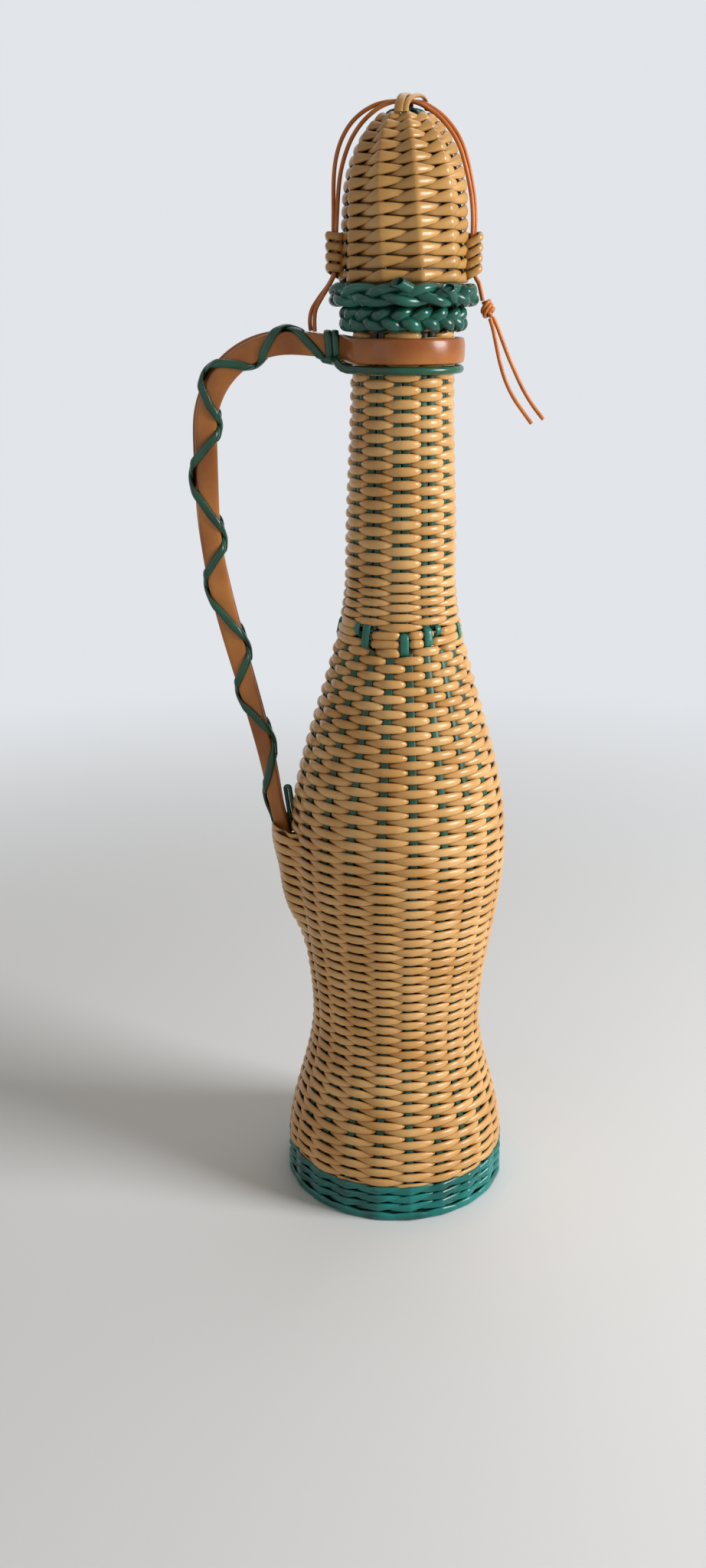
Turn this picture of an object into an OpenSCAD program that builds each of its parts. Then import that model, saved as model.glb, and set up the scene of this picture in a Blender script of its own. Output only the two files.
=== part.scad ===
// Tall glass bottle in a woven tube jacket, with a strap handle and a tied, woven stopper.
// Z is up, the origin is on the bottle's axis at the table, and the handle is towards -X.

/* [Jacket outline] */
// Outer radius of the jacket at the belly
belly_r = 43.5; // [41:0.1:46]
// How far the foot stands out past the belly
foot_out = 2.4; // [0:0.1:4]
// Height of the widest part of the foot
foot_z = 14; // [10:1:17]
// Outer radius at the waist
waist_r = 35.1; // [33:0.1:38]
// Height of the waist
waist_z = 74; // [68:1:80]
// Height of the belly
belly_z = 152; // [148:1:156]
// Outer radius where the neck begins
neck_low_r = 21.3; // [20.5:0.1:23]
// Height where the neck begins
neck_low_z = 262; // [256:1:268]
// Outer radius under the strap
neck_r = 19.2; // [18.6:0.1:20.4]
// Height of the strap's lower edge
neck_z = 335; // [328:1:342]

/* [Weave] */
// Number of upright stakes in the body
stake_n = 21; // [17:2:25]
// Number of stake pairs in the neck
neck_stake_n = 11; // [9:2:13]
// Width of a stake
stake_w = 2.4; // [1.8:0.1:2.8]
// Thickness of a stake
stake_t = 2; // [1.6:0.1:2.4]
// Thickness of the courses that cover the stakes
weave_t = 2.4; // [2:0.1:3]
// Height of a course on the body
course_h = 2.55; // [2.2:0.05:3.2]
// Height of a course on the neck
neck_course_h = 2.2; // [1.9:0.05:2.8]
// Depth of the groove between two courses
groove_t = 0.7; // [0.3:0.1:1]
// Height of the joint between body and neck weave
joint_z = 232.5; // [229:0.5:236]
// Length of the bare stakes over the joint
bare_l = 7.4; // [5:0.2:9]

/* [Foot] */
// Height of the coloured foot band
band_h = 15.6; // [13:0.2:18]
// Number of courses in the foot band
band_n = 4; // [3:1:5]
// How far the foot band stands out past the jacket
band_out = 0.4; // [0:0.1:0.8]
// Thickness of the woven mat under the glass
mat_t = 3.8; // [3:0.1:4.6]

/* [Glass] */
// Wall of the glass bottle
glass_wall = 3; // [2.4:0.1:3.6]
// Bore of the mouth
bore_d = 18.5; // [17.5:0.1:19.5]
// Depth of the straight bore
bore_l = 26; // [22:1:32]
// Height of the push-up in the glass base
punt_h = 12; // [8:1:16]
// How far the glass lip stands above the collar
lip_rise = 0.5; // [0.3:0.1:1]

/* [Strap handle] */
// Width of the strap
strap_w = 9; // [8:0.2:10]
// Thickness of the strap
strap_t = 3.1; // [2.6:0.1:3.4]
// Width of the strap at the tucked foot
strap_end_w = 5.2; // [4.6:0.2:5.8]
// Distance from the axis to the middle of the grip
reach = 72.5; // [68:0.5:78]
// Radius of the handle's top corner
corner_r = 31; // [26:0.5:33]
// How far the handle's top lies above the middle of the strap ring
handle_rise = 2.4; // [1:0.2:3.4]
// Height where the grip starts to lean in
lean_z = 284; // [278:1:290]
// Height where the strap goes under the weave
tuck_z = 156; // [152:1:160]
// Length of strap under the weave
tuck_l = 34; // [28:1:38]
// How far the weave bulges over the tucked strap
bulge_t = 5.9; // [5.4:0.1:6.6]

/* [Cords on the handle] */
// Width of the flat cord on the handle
lace_w = 3; // [2.4:0.1:3.2]
// Thickness of the flat cord on the handle
lace_t = 1.1; // [0.9:0.1:1.4]
// Handle length that the first turn takes
lace_pitch = 29.7; // [28:0.1:33]
// Extra handle length for each further turn
lace_growth = 4.2; // [3:0.1:4.6]
// Turns of each handle cord
lace_turns = 5.4; // [4.4:0.01:5.5]
// Turns of the binding that closes the strap ring
binding_turns = 2; // [2:1:3]
// Diameter of the cord under the strap ring
ring_cord_d = 2.5; // [2:0.1:2.8]
// Diameter of the doubled tie at the handle's foot
foot_tie_d = 1.7; // [1.5:0.1:1.9]

/* [Plaits] */
// Radius of the collar plait to its middle
collar_r = 20; // [19.5:0.1:20.8]
// Crossings of one strand round the collar
collar_n = 6; // [4:1:6]
// Radius of the stopper's rim plait to its middle
rim_r = 23.8; // [23.4:0.1:24]
// Crossings of one strand round the rim
rim_n = 4; // [4:1:6]
// Sideways swing of a plait strand
plait_swing = 2.8; // [2.7:0.1:3]
// In and out swing of a plait strand
plait_weave = 1.7; // [1.6:0.1:1.8]
// Diameter of a plait strand
strand_d = 2.25; // [1.8:0.05:2.3]

/* [Stopper] */
// Length of the cork in the bore
cork_l = 15; // [12:0.5:16]
// Running gap between cork and bore, on the radius
cork_gap = 0.05; // [0.03:0.01:0.1]
// Height of the cork's head
cork_head_h = 17; // [14:0.5:20]
// Radius of the cap at its lower edge
cap_low_r = 23.3; // [23:0.1:23.8]
// Radius of the cap where the dome begins
cap_r = 22.1; // [21.6:0.1:22.6]
// Height of the cap below the dome
cap_straight_h = 25; // [22:0.5:28]
// Height of the dome
dome_h = 32.5; // [30:0.5:35]
// Number of stakes in the cap
cap_stake_n = 10; // [8:1:12]
// Height of a course on the cap
cap_course_h = 4; // [3.4:0.1:4.6]
// Radius of the bare crown
crown_r = 8.4; // [7.6:0.1:9.2]
// Diameter of the cap's side and top loops
loop_d = 2; // [1.8:0.1:2.2]
// Turns of each side loop
loop_turns = 4; // [3:1:4]

/* [Tie cord] */
// Diameter of the tie cord
tie_d = 1.5; // [1.3:0.1:1.6]
// Length of the knot
knot_l = 6; // [5:0.5:7]
// Thickness of the knot
knot_d = 5.4; // [4.4:0.2:6]

/* [Hidden] */
$fn = 96;

gap = 0.2;
outline_step = 8;
stake_gap = 0.25;
full_turn = 360;
left = 180;
foot_r = belly_r + foot_out;
jacket_t = stake_t + weave_t + gap;
stake_turn = full_turn / stake_n;
neck_turn = full_turn / neck_stake_n;
front = 270;

strap_top_z = neck_z + strap_w;
weave_top_z = strap_top_z + neck_course_h;
plait_h = 2 * plait_swing + strand_d;
collar_z = weave_top_z + gap + plait_h / 2;
collar_top_z = collar_z + plait_h / 2;
lip_z = collar_top_z + lip_rise;
rim_z = lip_z + plait_h / 2;
cap_z = rim_z + plait_h / 2 + gap;
dome_z = cap_z + cap_straight_h;
head_z = lip_z + gap;

// Green, honey, brown and orange of the tubes, and the tints of glass and cork
leaf = "#1f5a44";
teal = "#1d8f82";
honey = "#dba85c";
caramel = "#a8622c";
orange = "#c8682c";
glass_tint = "#cfe3dc";
cork_tint = "#c79a66";

function mix(a, b, t) = a + (b - a) * t;
function clamp01(t) = min(1, max(0, t));
function ease(t) = let (c = clamp01(t)) c * c * (3 - 2 * c);
function unit(v) = v / norm(v);
function turned(a) = [cos(a), sin(a)];

// Jacket radius at a height, eased between the five stations
function jacket_r(z) =
    z < waist_z ? mix(foot_r, waist_r, ease((z - foot_z) / (waist_z - foot_z)))
    : z < belly_z ? mix(waist_r, belly_r, ease((z - waist_z) / (belly_z - waist_z)))
    : z < neck_low_z ? mix(belly_r, neck_low_r, ease((z - belly_z) / (neck_low_z - belly_z)))
    : mix(neck_low_r, neck_r, ease((z - neck_low_z) / (neck_z - neck_low_z)));

// Heights at about even steps from one height to another
function steps(z0, z1, step) = let (n = max(1, round(abs(z1 - z0) / step)))
    [for (i = [0:n]) mix(z0, z1, i / n)];

// Outline of stacked rounded courses along the jacket, grooved between them
function courses(z0, z1, h, out = 0) = let (n = round((z1 - z0) / h), s = (z1 - z0) / n)
    [for (i = [0:n - 1], p = [[0, groove_t], [0.25, 0], [0.75, 0]])
        let (z = z0 + (i + p[0]) * s) [jacket_r(z) + out - p[1], z]];

// Ring shell between two depths under the jacket's outline
module jacket_layer(z0, z1, deep, shallow) {
    inner = steps(z1, z0, outline_step);
    outer = steps(z0, z1, outline_step);
    rotate_extrude()
        polygon(concat([for (z = outer) [jacket_r(z) - shallow, z]],
            [for (z = inner) [jacket_r(z) - deep, z]]));
}

// Solid core of the jacket's outline, at a depth under it
module jacket_core(z0, z1, deep) {
    rotate_extrude()
        polygon(concat([[0, z0 - 1]],
            [for (z = steps(z0 - 1, z1 + 1, outline_step)) [jacket_r(z) - deep, z]],
            [[0, z1 + 1]]));
}

// Upright box that reaches out from the axis in one direction
module spoke(angle, width, z0, z1, side = 0) {
    rotate([0, 0, angle])
        translate([0, side - width / 2, z0])
            cube([foot_r + band_out + 10, width, z1 - z0]);
}

// Solid swept along points: each ring is a section of [towards the normal, across it]
function ring_frames(pts, normals, closed) = let (n = len(pts))
    [for (i = [0:n - 1])
        let (a = closed ? pts[(i + n - 1) % n] : pts[max(0, i - 1)],
            b = closed ? pts[(i + 1) % n] : pts[min(n - 1, i + 1)],
            t = unit(b - a),
            m = unit(normals[i] - (normals[i] * t) * t))
        [m, cross(t, m)]];

module sweep(pts, normals, sections, closed = false) {
    n = len(pts);
    k = len(sections[0]);
    f = ring_frames(pts, normals, closed);
    verts = [for (i = [0:n - 1], s = sections[i % len(sections)]) pts[i] + s[0] * f[i][0] + s[1] * f[i][1]];
    sides = [for (i = [0:n - (closed ? 1 : 2)], j = [0:k - 1])
        let (p = i * k, q = ((i + 1) % n) * k, w = (j + 1) % k)
        each [[p + j, q + w, p + w], [p + j, q + j, q + w]]];
    e = (n - 1) * k;
    caps = closed ? [] : [for (j = [1:k - 2]) each [[0, j, j + 1], [e, e + j + 1, e + j]]];
    polyhedron(verts, concat(sides, caps));
}

// Oval tube section, and a flat strap section with chamfered corners
function oval(thick, wide, sides) = [for (j = [0:sides - 1]) let (a = full_turn * j / sides)
    [thick / 2 * cos(a), wide / 2 * sin(a)]];
function strap_section(w) = let (x = w / 2, y = strap_t / 2, c = strap_t * 0.28)
    [[x, y - c], [x - c, y], [c - x, y], [-x, y - c], [-x, c - y], [c - x, -y], [x - c, -y], [x, c - y]];

// Route points joined by a smooth curve, with extra points between them
function curve_point(a, b, c, d, t) = 0.5 * (2 * b + (c - a) * t + (2 * a - 5 * b + 4 * c - d) * t * t
    + (3 * b - a - 3 * c + d) * t * t * t);
function smooth_route(p, extra) = let (n = len(p))
    [for (i = [0:n - 2], k = [0:extra]) curve_point(p[max(0, i - 1)], p[i], p[i + 1], p[min(n - 1, i + 2)],
        k / (extra + 1)), p[n - 1]];

// Least distance between points of a winding that lie over half a turn apart
function self_gap(pts, skip) = min([for (i = [0:len(pts) - 1]) if (i + skip < len(pts))
    min([for (j = [i + skip:len(pts) - 1]) norm(pts[i] - pts[j])])]);

// Middle line of the handle: [x, z] from the strap ring out, round the corner and down to the tucked end
ring_mid_r = neck_r + 0.4 + strap_t / 2;
ring_mid_z = neck_z + strap_w / 2;
handle_z = ring_mid_z + handle_rise;
corner_x = reach - corner_r;
corner_z = handle_z - corner_r;
start_x = neck_r + 4.8;
start_z = handle_z - 1.1;
tuck_end_z = tuck_z - tuck_l;
hold_x = belly_r + 4.9;
tuck_in = 4.7;
function leg_x(z) = mix(reach, hold_x, ease((lean_z - z) / (lean_z - tuck_z + 6)))
    - tuck_in * ease((tuck_z + 12 - z) / 30)
    - max(0, jacket_r(tuck_z - 18) - jacket_r(min(z, tuck_z - 18)));
handle_line = concat(
    [for (t = [0:0.25:0.99]) [-mix(start_x, corner_x, t), mix(start_z, handle_z, ease(t))]],
    [for (a = [0:9:89]) [-corner_x - corner_r * sin(a), corner_z + corner_r * cos(a)]],
    [for (z = steps(corner_z, tuck_end_z, 6)) [-leg_x(z), z]]);
function lengths(p, i = 1, sum = 0) = i >= len(p) ? [sum]
    : concat([sum], lengths(p, i + 1, sum + norm(p[i] - p[i - 1])));
handle_len = lengths(handle_line);
x_table = [for (i = [0:len(handle_line) - 1]) [handle_len[i], handle_line[i][0]]];
z_table = [for (i = [0:len(handle_line) - 1]) [handle_len[i], handle_line[i][1]]];
function handle_at(s) = [lookup(s, x_table), lookup(s, z_table)];
handle_total = handle_len[len(handle_len) - 1];
function handle_dir(s) = unit(handle_at(max(3, s + 1.5)) - handle_at(min(handle_total - 3, s - 1.5)));
// Points away from the finger gap
function handle_out(s) = let (d = handle_dir(s)) [d[1], -d[0]];
function strap_w_at(s) = mix(strap_w - 0.8, strap_end_w, ease((s / handle_total - 0.45) * 2));
leg_y = strap_t / 2 + gap;

// Strap: up one leg, round the neck and down the other leg
back_peek = 1.4;
peek_start = 45;
peek_end = 70;
function leg_shift(s) = back_peek * (ease(s / peek_start) - ease((s - peek_end) / peek_end));
function leg_point(i, side) = let (s = handle_len[i], o = handle_out(s), p = handle_line[i]
    + o * (side > 0 ? leg_shift(s) : 0)) [p[0], side * leg_y, p[1]];
function leg_normal(i) = let (o = handle_out(handle_len[i])) [o[0], 0, o[1]];
ring_open = 36;
ring_angles = steps(left + ring_open, left + full_turn - ring_open, 12);
// Short bend that leads from a leg into the ring
function lead(side, t) = let (a = left + ring_open,
    p0 = [-start_x, leg_y], p3 = ring_mid_r * [cos(a), -sin(a)],
    p1 = p0 + [3, 0], p2 = p3 + 5 * [sin(a), cos(a)], u = 1 - t,
    p = u * u * u * p0 + 3 * u * u * t * p1 + 3 * u * t * t * p2 + t * t * t * p3)
    [p[0], side * p[1], mix(start_z, ring_mid_z, ease(t))];
last = len(handle_line) - 1;
lead_steps = [0.25, 0.5, 0.75];
strap_points = concat(
    [for (i = [last:-1:0]) leg_point(i, -1)],
    [for (t = lead_steps) lead(-1, t)],
    [for (a = ring_angles) [ring_mid_r * cos(a), ring_mid_r * sin(a), ring_mid_z]],
    [for (i = [len(lead_steps) - 1:-1:0]) lead(1, lead_steps[i])],
    [for (i = [0:last]) leg_point(i, 1)]);
up = [0, 0, 1];
strap_normals = concat(
    [for (i = [last:-1:0]) leg_normal(i)],
    [for (i = [1:len(ring_angles) + 2 * len(lead_steps)]) up],
    [for (i = [0:last]) leg_normal(i)]);
strap_widths = concat(
    [for (i = [last:-1:0]) strap_w_at(handle_len[i])],
    [for (t = lead_steps) mix(strap_w_at(0), strap_w, t)],
    [for (a = ring_angles) strap_w],
    [for (i = [len(lead_steps) - 1:-1:0]) mix(strap_w_at(0), strap_w, lead_steps[i])],
    [for (i = [0:last]) strap_w_at(handle_len[i])]);

// Rounded square that a cord follows round the strap, and its direction outwards
function loop_offset(a, half_x, half_y) = let (k = pow(pow(abs(cos(a)), 4) + pow(abs(sin(a)), 4), 0.25))
    [half_x * cos(a) / k, half_y * sin(a) / k];
lace_rings = 24;
lace_start = -0.4;
lace_first_s = corner_r * 0.58;
lace_off = gap + 0.2 + lace_t / 2;
lace_lift = lace_t + 0.5;
function lace_s(u) = lace_first_s + (lace_pitch + lace_growth / 2 * (u - 1)) * u;
function lace_spot(s, a, lift) = let (o = handle_out(s), shift = leg_shift(s) / 2,
    f = loop_offset(a, strap_w_at(s) / 2 + shift + lace_off, strap_t + gap + lace_off),
    rise = 1 + lift * lace_lift * pow(cos(a), 4) / max(abs(f[0]), 1),
    q = handle_at(s) + o * (shift + f[0] * rise))
    [q[0], f[1], q[1]];
function lace_side(s, a) = let (o = handle_out(s)) [o[0] * cos(a), sin(a), o[1] * cos(a)];
lace_us = [for (i = [0:round(lace_turns * lace_rings)]) lace_start + i / lace_rings];
lace_last_u = lace_us[len(lace_us) - 1];
lace_last_s = lace_s(lace_last_u);
lace_last_a = -full_turn * lace_last_u;
// The upper cord runs on along the handle's edge until just above the weave
lace_end_s = handle_total - tuck_l - 3.4;
tail_s = [for (s = steps(lace_last_s, lace_end_s, 2)) if (s > lace_last_s + 1) s];
under_points = [for (u = lace_us) lace_spot(lace_s(u), full_turn * u, 0)];
under_normals = [for (u = lace_us) lace_side(lace_s(u), full_turn * u)];
over_points = concat([for (u = lace_us) lace_spot(lace_s(u), -full_turn * u, 1)],
    [for (s = tail_s) lace_spot(s, lace_last_a, 1 - ease((s - lace_last_s - lace_w) / lace_w / 2))]);
over_normals = concat([for (u = lace_us) lace_side(lace_s(u), -full_turn * u)],
    [for (s = tail_s) lace_side(s, lace_last_a)]);
echo(handle_cord_turns = lace_turns, least_gap_of_lower_cord = self_gap(under_points, 13) - lace_w,
    least_gap_of_upper_cord = self_gap(over_points, 13) - lace_w,
    least_gap_between_them = min([for (a = under_points) min([for (b = over_points) norm(a - b)])]) - lace_t);

// Closed coil round a straight middle line, with straight ends one cord diameter long
function coil_points(mid, axis, side, turns, pitch, half_a, half_b, first) =
    let (third = cross(axis, side), n = turns * 24)
    [for (i = [0:n]) let (a = first + full_turn * i / 24, f = loop_offset(a, half_a, half_b))
        mid + axis * pitch * (i / 24 - turns / 2) + side * f[0] + third * f[1]];
function coil_normals(axis, side, turns, first) = let (third = cross(axis, side))
    [for (i = [0:turns * 24]) let (a = first + full_turn * i / 24) side * cos(a) + third * sin(a)];

binding_d = 1.25;
binding_pitch = 1.9;
binding_off = gap + 0.15 + binding_d / 2;
binding_mid = [-(start_x + binding_turns * binding_pitch / 2 + gap), 0, start_z + 0.1];
binding_points = coil_points(binding_mid, [-1, 0, 0], up, binding_turns, binding_pitch,
    strap_w_at(0) / 2 + binding_off, strap_t + gap + binding_off, left);
binding_normals = coil_normals([-1, 0, 0], up, binding_turns, left);
echo(binding_turns = binding_turns, least_gap_of_binding = self_gap(binding_points, 13) - binding_d);

// Cord round the neck under the strap ring, whose two ends rise beside the binding
ring_cord_r = neck_r + ring_cord_d / 2 + gap;
ring_cord_z = neck_z - ring_cord_d / 2 - gap;
ring_cord_open = 14;
function ring_cord_out(a) = 4.1 * (1 - ease((a - ring_cord_open - 8) / 20));
function ring_cord_rise(a) = 2.2 * (1 - ease((a - ring_cord_open - 2) / 16));
ring_cord_points = [for (a = steps(ring_cord_open, full_turn - ring_cord_open, 5.5))
    let (side_a = min(a, full_turn - a), r = ring_cord_r + ring_cord_out(side_a))
        concat(r * turned(left + a), [ring_cord_z + ring_cord_rise(side_a)])];

// Side loops round the two tie cords
loop_x = 24.6;
loop_pitch = 3.5;
loop_mid_z = cap_z + 9.1;
function side_loop(side) = coil_points([side * loop_x, 0, loop_mid_z], up, [side, 0, 0],
    loop_turns, loop_pitch, 2.5, 2.9, left);
echo(side_loop_turns = loop_turns, least_gap_of_side_loop = self_gap(side_loop(1), 13) - loop_d);

// Routes of the flat top loops over the crown's top, and of the tie cord, chosen point by point
loop_t = 1.1;
wide_loop = [[-1.6, -8.7, -2.25], [-1.6, -7.4, -0.3], [-1.3, -5.2, 2], [-0.8, -2.6, 3.1], [-0.2, 0, 3.35],
    [0.3, 2.6, 3], [0.6, 5.2, 1.6], [0.7, 7.4, -0.6], [0.7, 8.7, -2.35]];
narrow_loop = [[1.3, -7.9, -1.6], [1.8, -6.5, 0], [2.9, -4.3, 1.5], [4.3, -2.1, 2.45], [5.6, 0.1, 2.7],
    [6.6, 2.3, 2], [7.2, 4.2, 0.6], [7.4, 5.5, -1]];
outer_strand = [[-25.1, 0.9, 366], [-25.1, 0.9, 373], [-25.1, 0.9, 380], [-25.05, 0.9, 385.5],
    [-25.05, 0.95, 391], [-25, 0.95, 395.5], [-24.7, 0.95, 400], [-24, 0.95, 404.2], [-22.7, 0.95, 408.4],
    [-20.9, 0.95, 412], [-18.7, 0.95, 415], [-16.1, 0.95, 417.4], [-13.2, 0.95, 419.3], [-9.7, 0.95, 420.8],
    [-5.4, 0.9, 421.6], [0, 0.85, 421.7], [3.8, 0.85, 421.5], [7.4, 0.9, 420.6], [12.9, 0.95, 417.2],
    [17.2, 1, 412.6], [20.1, 1, 407.7], [22, 1, 402.4], [23.5, 1, 396.2], [24.6, 0.95, 390],
    [25.1, 0.95, 384.2], [25.05, 0.95, 379], [25, 0.9, 372], [24.95, 0.9, 367.6], [25.3, 0.9, 365.4],
    [26.1, 0.9, 363.6], [27, 0.9, 362], [27.8, 0.85, 359], [28.4, 0.8, 356.4]];
inner_strand = [[-24.6, -0.9, 366], [-24.2, -0.9, 369.6], [-24.1, -0.9, 373], [-24.05, -0.95, 379],
    [-23.8, -1.2, 384], [-23.5, -1.5, 389], [-23.1, -1.5, 394], [-22.5, -1.3, 398.4], [-21.6, -1, 402.2],
    [-20.4, -0.95, 405.8], [-18.9, -0.95, 409.2], [-16.9, -0.95, 412.4], [-14.6, -0.95, 415.2],
    [-11.8, -0.95, 417.7], [-8.6, -0.95, 419.8], [-5.2, -0.95, 421.1], [-2.2, -0.95, 421.6],
    [0.6, -0.9, 421.6], [3.4, -0.9, 421.2], [6.6, -0.95, 419.9], [11.9, -1.1, 416.4], [16.1, -1.2, 411.8],
    [18.9, -1.2, 407.1], [20.8, -1.2, 401.9], [22.4, -1.2, 395.9], [23.6, -1.1, 389.8], [24.1, -1, 384.1],
    [24.15, -0.95, 379], [24.3, -0.9, 372], [24.55, -0.9, 367.8], [25.1, -0.9, 365.4], [26, -0.9, 363.6],
    [27, -0.9, 362], [27.8, -0.85, 359], [28.4, -0.8, 356.4]];
tether_outer = [[-25.15, 0.9, 365.8], [-25.6, 0.9, 364.2], [-27.4, 0.9, 361.2], [-30.4, 0.9, 357.4],
    [-33, 1, 353.4], [-33.8, 1.2, 349.6], [-33.5, 1.4, 346.05]];
tether_inner = [[-24.65, -0.9, 365.8], [-25.2, -0.9, 364.2], [-27.1, -0.9, 360.9], [-29.6, -0.9, 357],
    [-31.5, -1, 353.4], [-32, -1.2, 349.8], [-31.9, -1.4, 345.8]];
front_tail = [[31.1, -0.8, 350.4], [32.4, -0.9, 346.6], [33.6, -1, 341.6], [35.2, -1.1, 335.2],
    [37.4, -1.2, 328.8], [40.4, -1.3, 323], [43.9, -1.4, 318.2], [47.4, -1.5, 313.7]];
back_tail = [[32.2, 0.8, 350.9], [34, 0.9, 347.4], [36, 1, 342.6], [38.4, 1.1, 337], [41, 1.2, 331.6],
    [44, 1.3, 325.8], [47.8, 1.4, 320], [51.9, 1.5, 315]];

function plait_points(radius, crossings, z, strand, rings) = [for (i = [0:rings - 1])
    let (a = full_turn * i / rings, p = crossings * a + strand * full_turn / 3)
        concat((radius + plait_weave * sin(2 * p)) * turned(a), [z + plait_swing * sin(p)])];

module plait_strands(radius, crossings, z) {
    rings = crossings * 12;
    normals = [for (i = [0:rings - 1]) concat(turned(full_turn * i / rings), [0])];
    for (strand = [0:2])
        sweep(plait_points(radius, crossings, z, strand, rings), normals,
            [oval(strand_d, strand_d, 6)], true);
}

module cord_tube(route, d, extra = 0) {
    pts = smooth_route(route, extra);
    sweep(pts, [for (p = pts) [0, 1, 0]], [oval(d, d, 8)]);
}

module glass_bottle() {
    floor_z = mat_t + gap;
    round_r = foot_r * 0.15;
    bearing_w = foot_r * 0.045;
    lip_edge = glass_wall * 0.25;
    side = steps(floor_z + round_r, weave_top_z, outline_step);
    shoulder_z = lip_z - bore_l;
    taper_l = bore_l * 0.4;
    inside = steps(shoulder_z - taper_l, floor_z + glass_wall + round_r, outline_step);
    low_r = jacket_r(floor_z + round_r) - jacket_t;
    low_in = low_r - glass_wall;
    side_r = neck_r - jacket_t;
    color(glass_tint)
        rotate_extrude()
            polygon(concat(
                [[0, floor_z + punt_h], [low_r * 0.45, floor_z + punt_h * 0.6],
                    [low_r - round_r - bearing_w, floor_z + punt_h * 0.05], [low_r - round_r, floor_z]],
                [for (a = [-90:15:-15]) [low_r - round_r, floor_z + round_r] + round_r * turned(a)],
                [for (z = side) [jacket_r(z) - jacket_t, z]],
                [[side_r, lip_z - lip_edge], [side_r - lip_edge, lip_z], [bore_d / 2 + lip_edge, lip_z],
                    [bore_d / 2, lip_z - lip_edge], [bore_d / 2, shoulder_z]],
                [for (z = inside) [jacket_r(z) - jacket_t - glass_wall, z]],
                [for (a = [0:-15:-75])
                    [low_in - round_r, floor_z + glass_wall + round_r] + round_r * turned(a)],
                [[low_in - round_r - bearing_w, floor_z + glass_wall + punt_h * 0.05],
                    [low_r * 0.45, floor_z + punt_h * 0.6 + glass_wall],
                    [0, floor_z + punt_h + glass_wall]]));
}

// Woven mat that the glass stands on, inside the foot band
module base_mat() {
    mat_r = foot_r - weave_t - gap;
    ring_w = 4;
    color(teal)
        difference() {
            cylinder(r = mat_r, h = mat_t);
            for (r = [mat_r - ring_w:-ring_w:ring_w])
                translate([0, 0, mat_t - 0.5])
                    difference() {
                        cylinder(r = r, h = 1);
                        translate([0, 0, -1]) cylinder(r = r - 0.6, h = 3);
                    }
        }
}

module foot_band() {
    h = band_h / band_n;
    color(teal)
        rotate_extrude()
            polygon(concat(
                [[foot_r - weave_t, 0], [foot_r + band_out - 1.6, 0]],
                [for (i = [0:band_n - 1], p = [[0.14, 0.4], [0.4, 0], [0.75, 0], [1, groove_t]])
                    if (i + p[0] > 0.1)
                        [foot_r + band_out - p[1] - (i == 0 && p[0] < 0.2 ? 0.5 : 0), (i + p[0]) * h]],
                [[foot_r - weave_t, band_h]]));
}

module body_stakes() {
    color(leaf)
        intersection() {
            jacket_layer(mat_t + gap, joint_z - gap, jacket_t - 0.1, weave_t + stake_gap);
            union()
                for (i = [0:stake_n - 1])
                    spoke(front + (i + 0.5) * stake_turn, stake_w, 0, joint_z);
        }
}

// Tucked end of the strap widened by a clearance, as the weave leaves it free
module handle_pocket(clear) {
    path = [for (s = steps(handle_total - tuck_l - 20, handle_total, 2)) s];
    end = handle_dir(handle_total) * clear;
    inner = [for (s = path) handle_at(s) - handle_out(s) * (strap_w_at(s) / 2 + clear + 1)];
    outer = [for (s = path) handle_at(s) + handle_out(s) * (strap_w_at(s) / 2 + clear)];
    n = len(path) - 1;
    rotate([90, 0, 0])
        linear_extrude(2 * (strap_t + gap + clear), center = true)
            polygon(concat(inner, [inner[n] + end, outer[n] + end], [for (i = [n:-1:0]) outer[i]]));
}

// Place and lean of the doubled tie, and the slot that the weave leaves for it
tie_in = 1.5;
tie_sink = 2;
tie_h = tuck_l / 2;
tie_lean = 8;
tie_slot = 6.5;

// Bulge of the weave over the tucked strap
bulge_low_z = tuck_z - tuck_l * 1.53;
bulge_x = jacket_r(bulge_low_z) - strap_t * 2.25;
bulge_rise = tuck_l - 6;
bulge_w = belly_r * 0.92;
function bulge_at(z) = bulge_t * sin(90 * clamp01((z - bulge_low_z) / bulge_rise));

module body_weave() {
    z0 = band_h + gap / 2;
    n = round((joint_z - z0) / course_h);
    h = (joint_z - z0) / n;
    i0 = ceil((bulge_low_z - z0) / h);
    i1 = floor((tuck_z - z0) / h);
    ridge = [for (i = [i0:i1 - 1], p = [[0, groove_t], [0.25, 0], [0.75, 0]])
        let (z = z0 + (i + p[0]) * h) [jacket_r(z) + bulge_at(z) - bulge_x - p[1], z]];
    inner = steps(joint_z, z0, outline_step);
    color(honey)
        difference() {
            union() {
                rotate_extrude()
                    polygon(concat(courses(z0, joint_z, course_h), [[jacket_r(joint_z) - groove_t, joint_z]],
                        [for (z = inner) [jacket_r(z) - weave_t, z]]));
                intersection() {
                    translate([-bulge_x, 0, 0])
                        rotate_extrude()
                            polygon(concat([[0, z0 + i0 * h]], ridge, [[0, z0 + i1 * h]]));
                    difference() {
                        translate([-bulge_x - bulge_w, -bulge_w / 2, z0 + i0 * h])
                            cube([bulge_w - weave_t * 2, bulge_w, (i1 - i0) * h]);
                        jacket_core(z0 + i0 * h, z0 + i1 * h, weave_t - 0.6);
                    }
                }
            }
            handle_pocket(0.3);
            translate([-belly_r - tie_slot / 2, -foot_tie_d / 2 - gap, tuck_z - tie_sink - 0.4])
                cube([tie_slot, foot_tie_d + 2 * gap, tie_h + 9]);
        }
}

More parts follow.
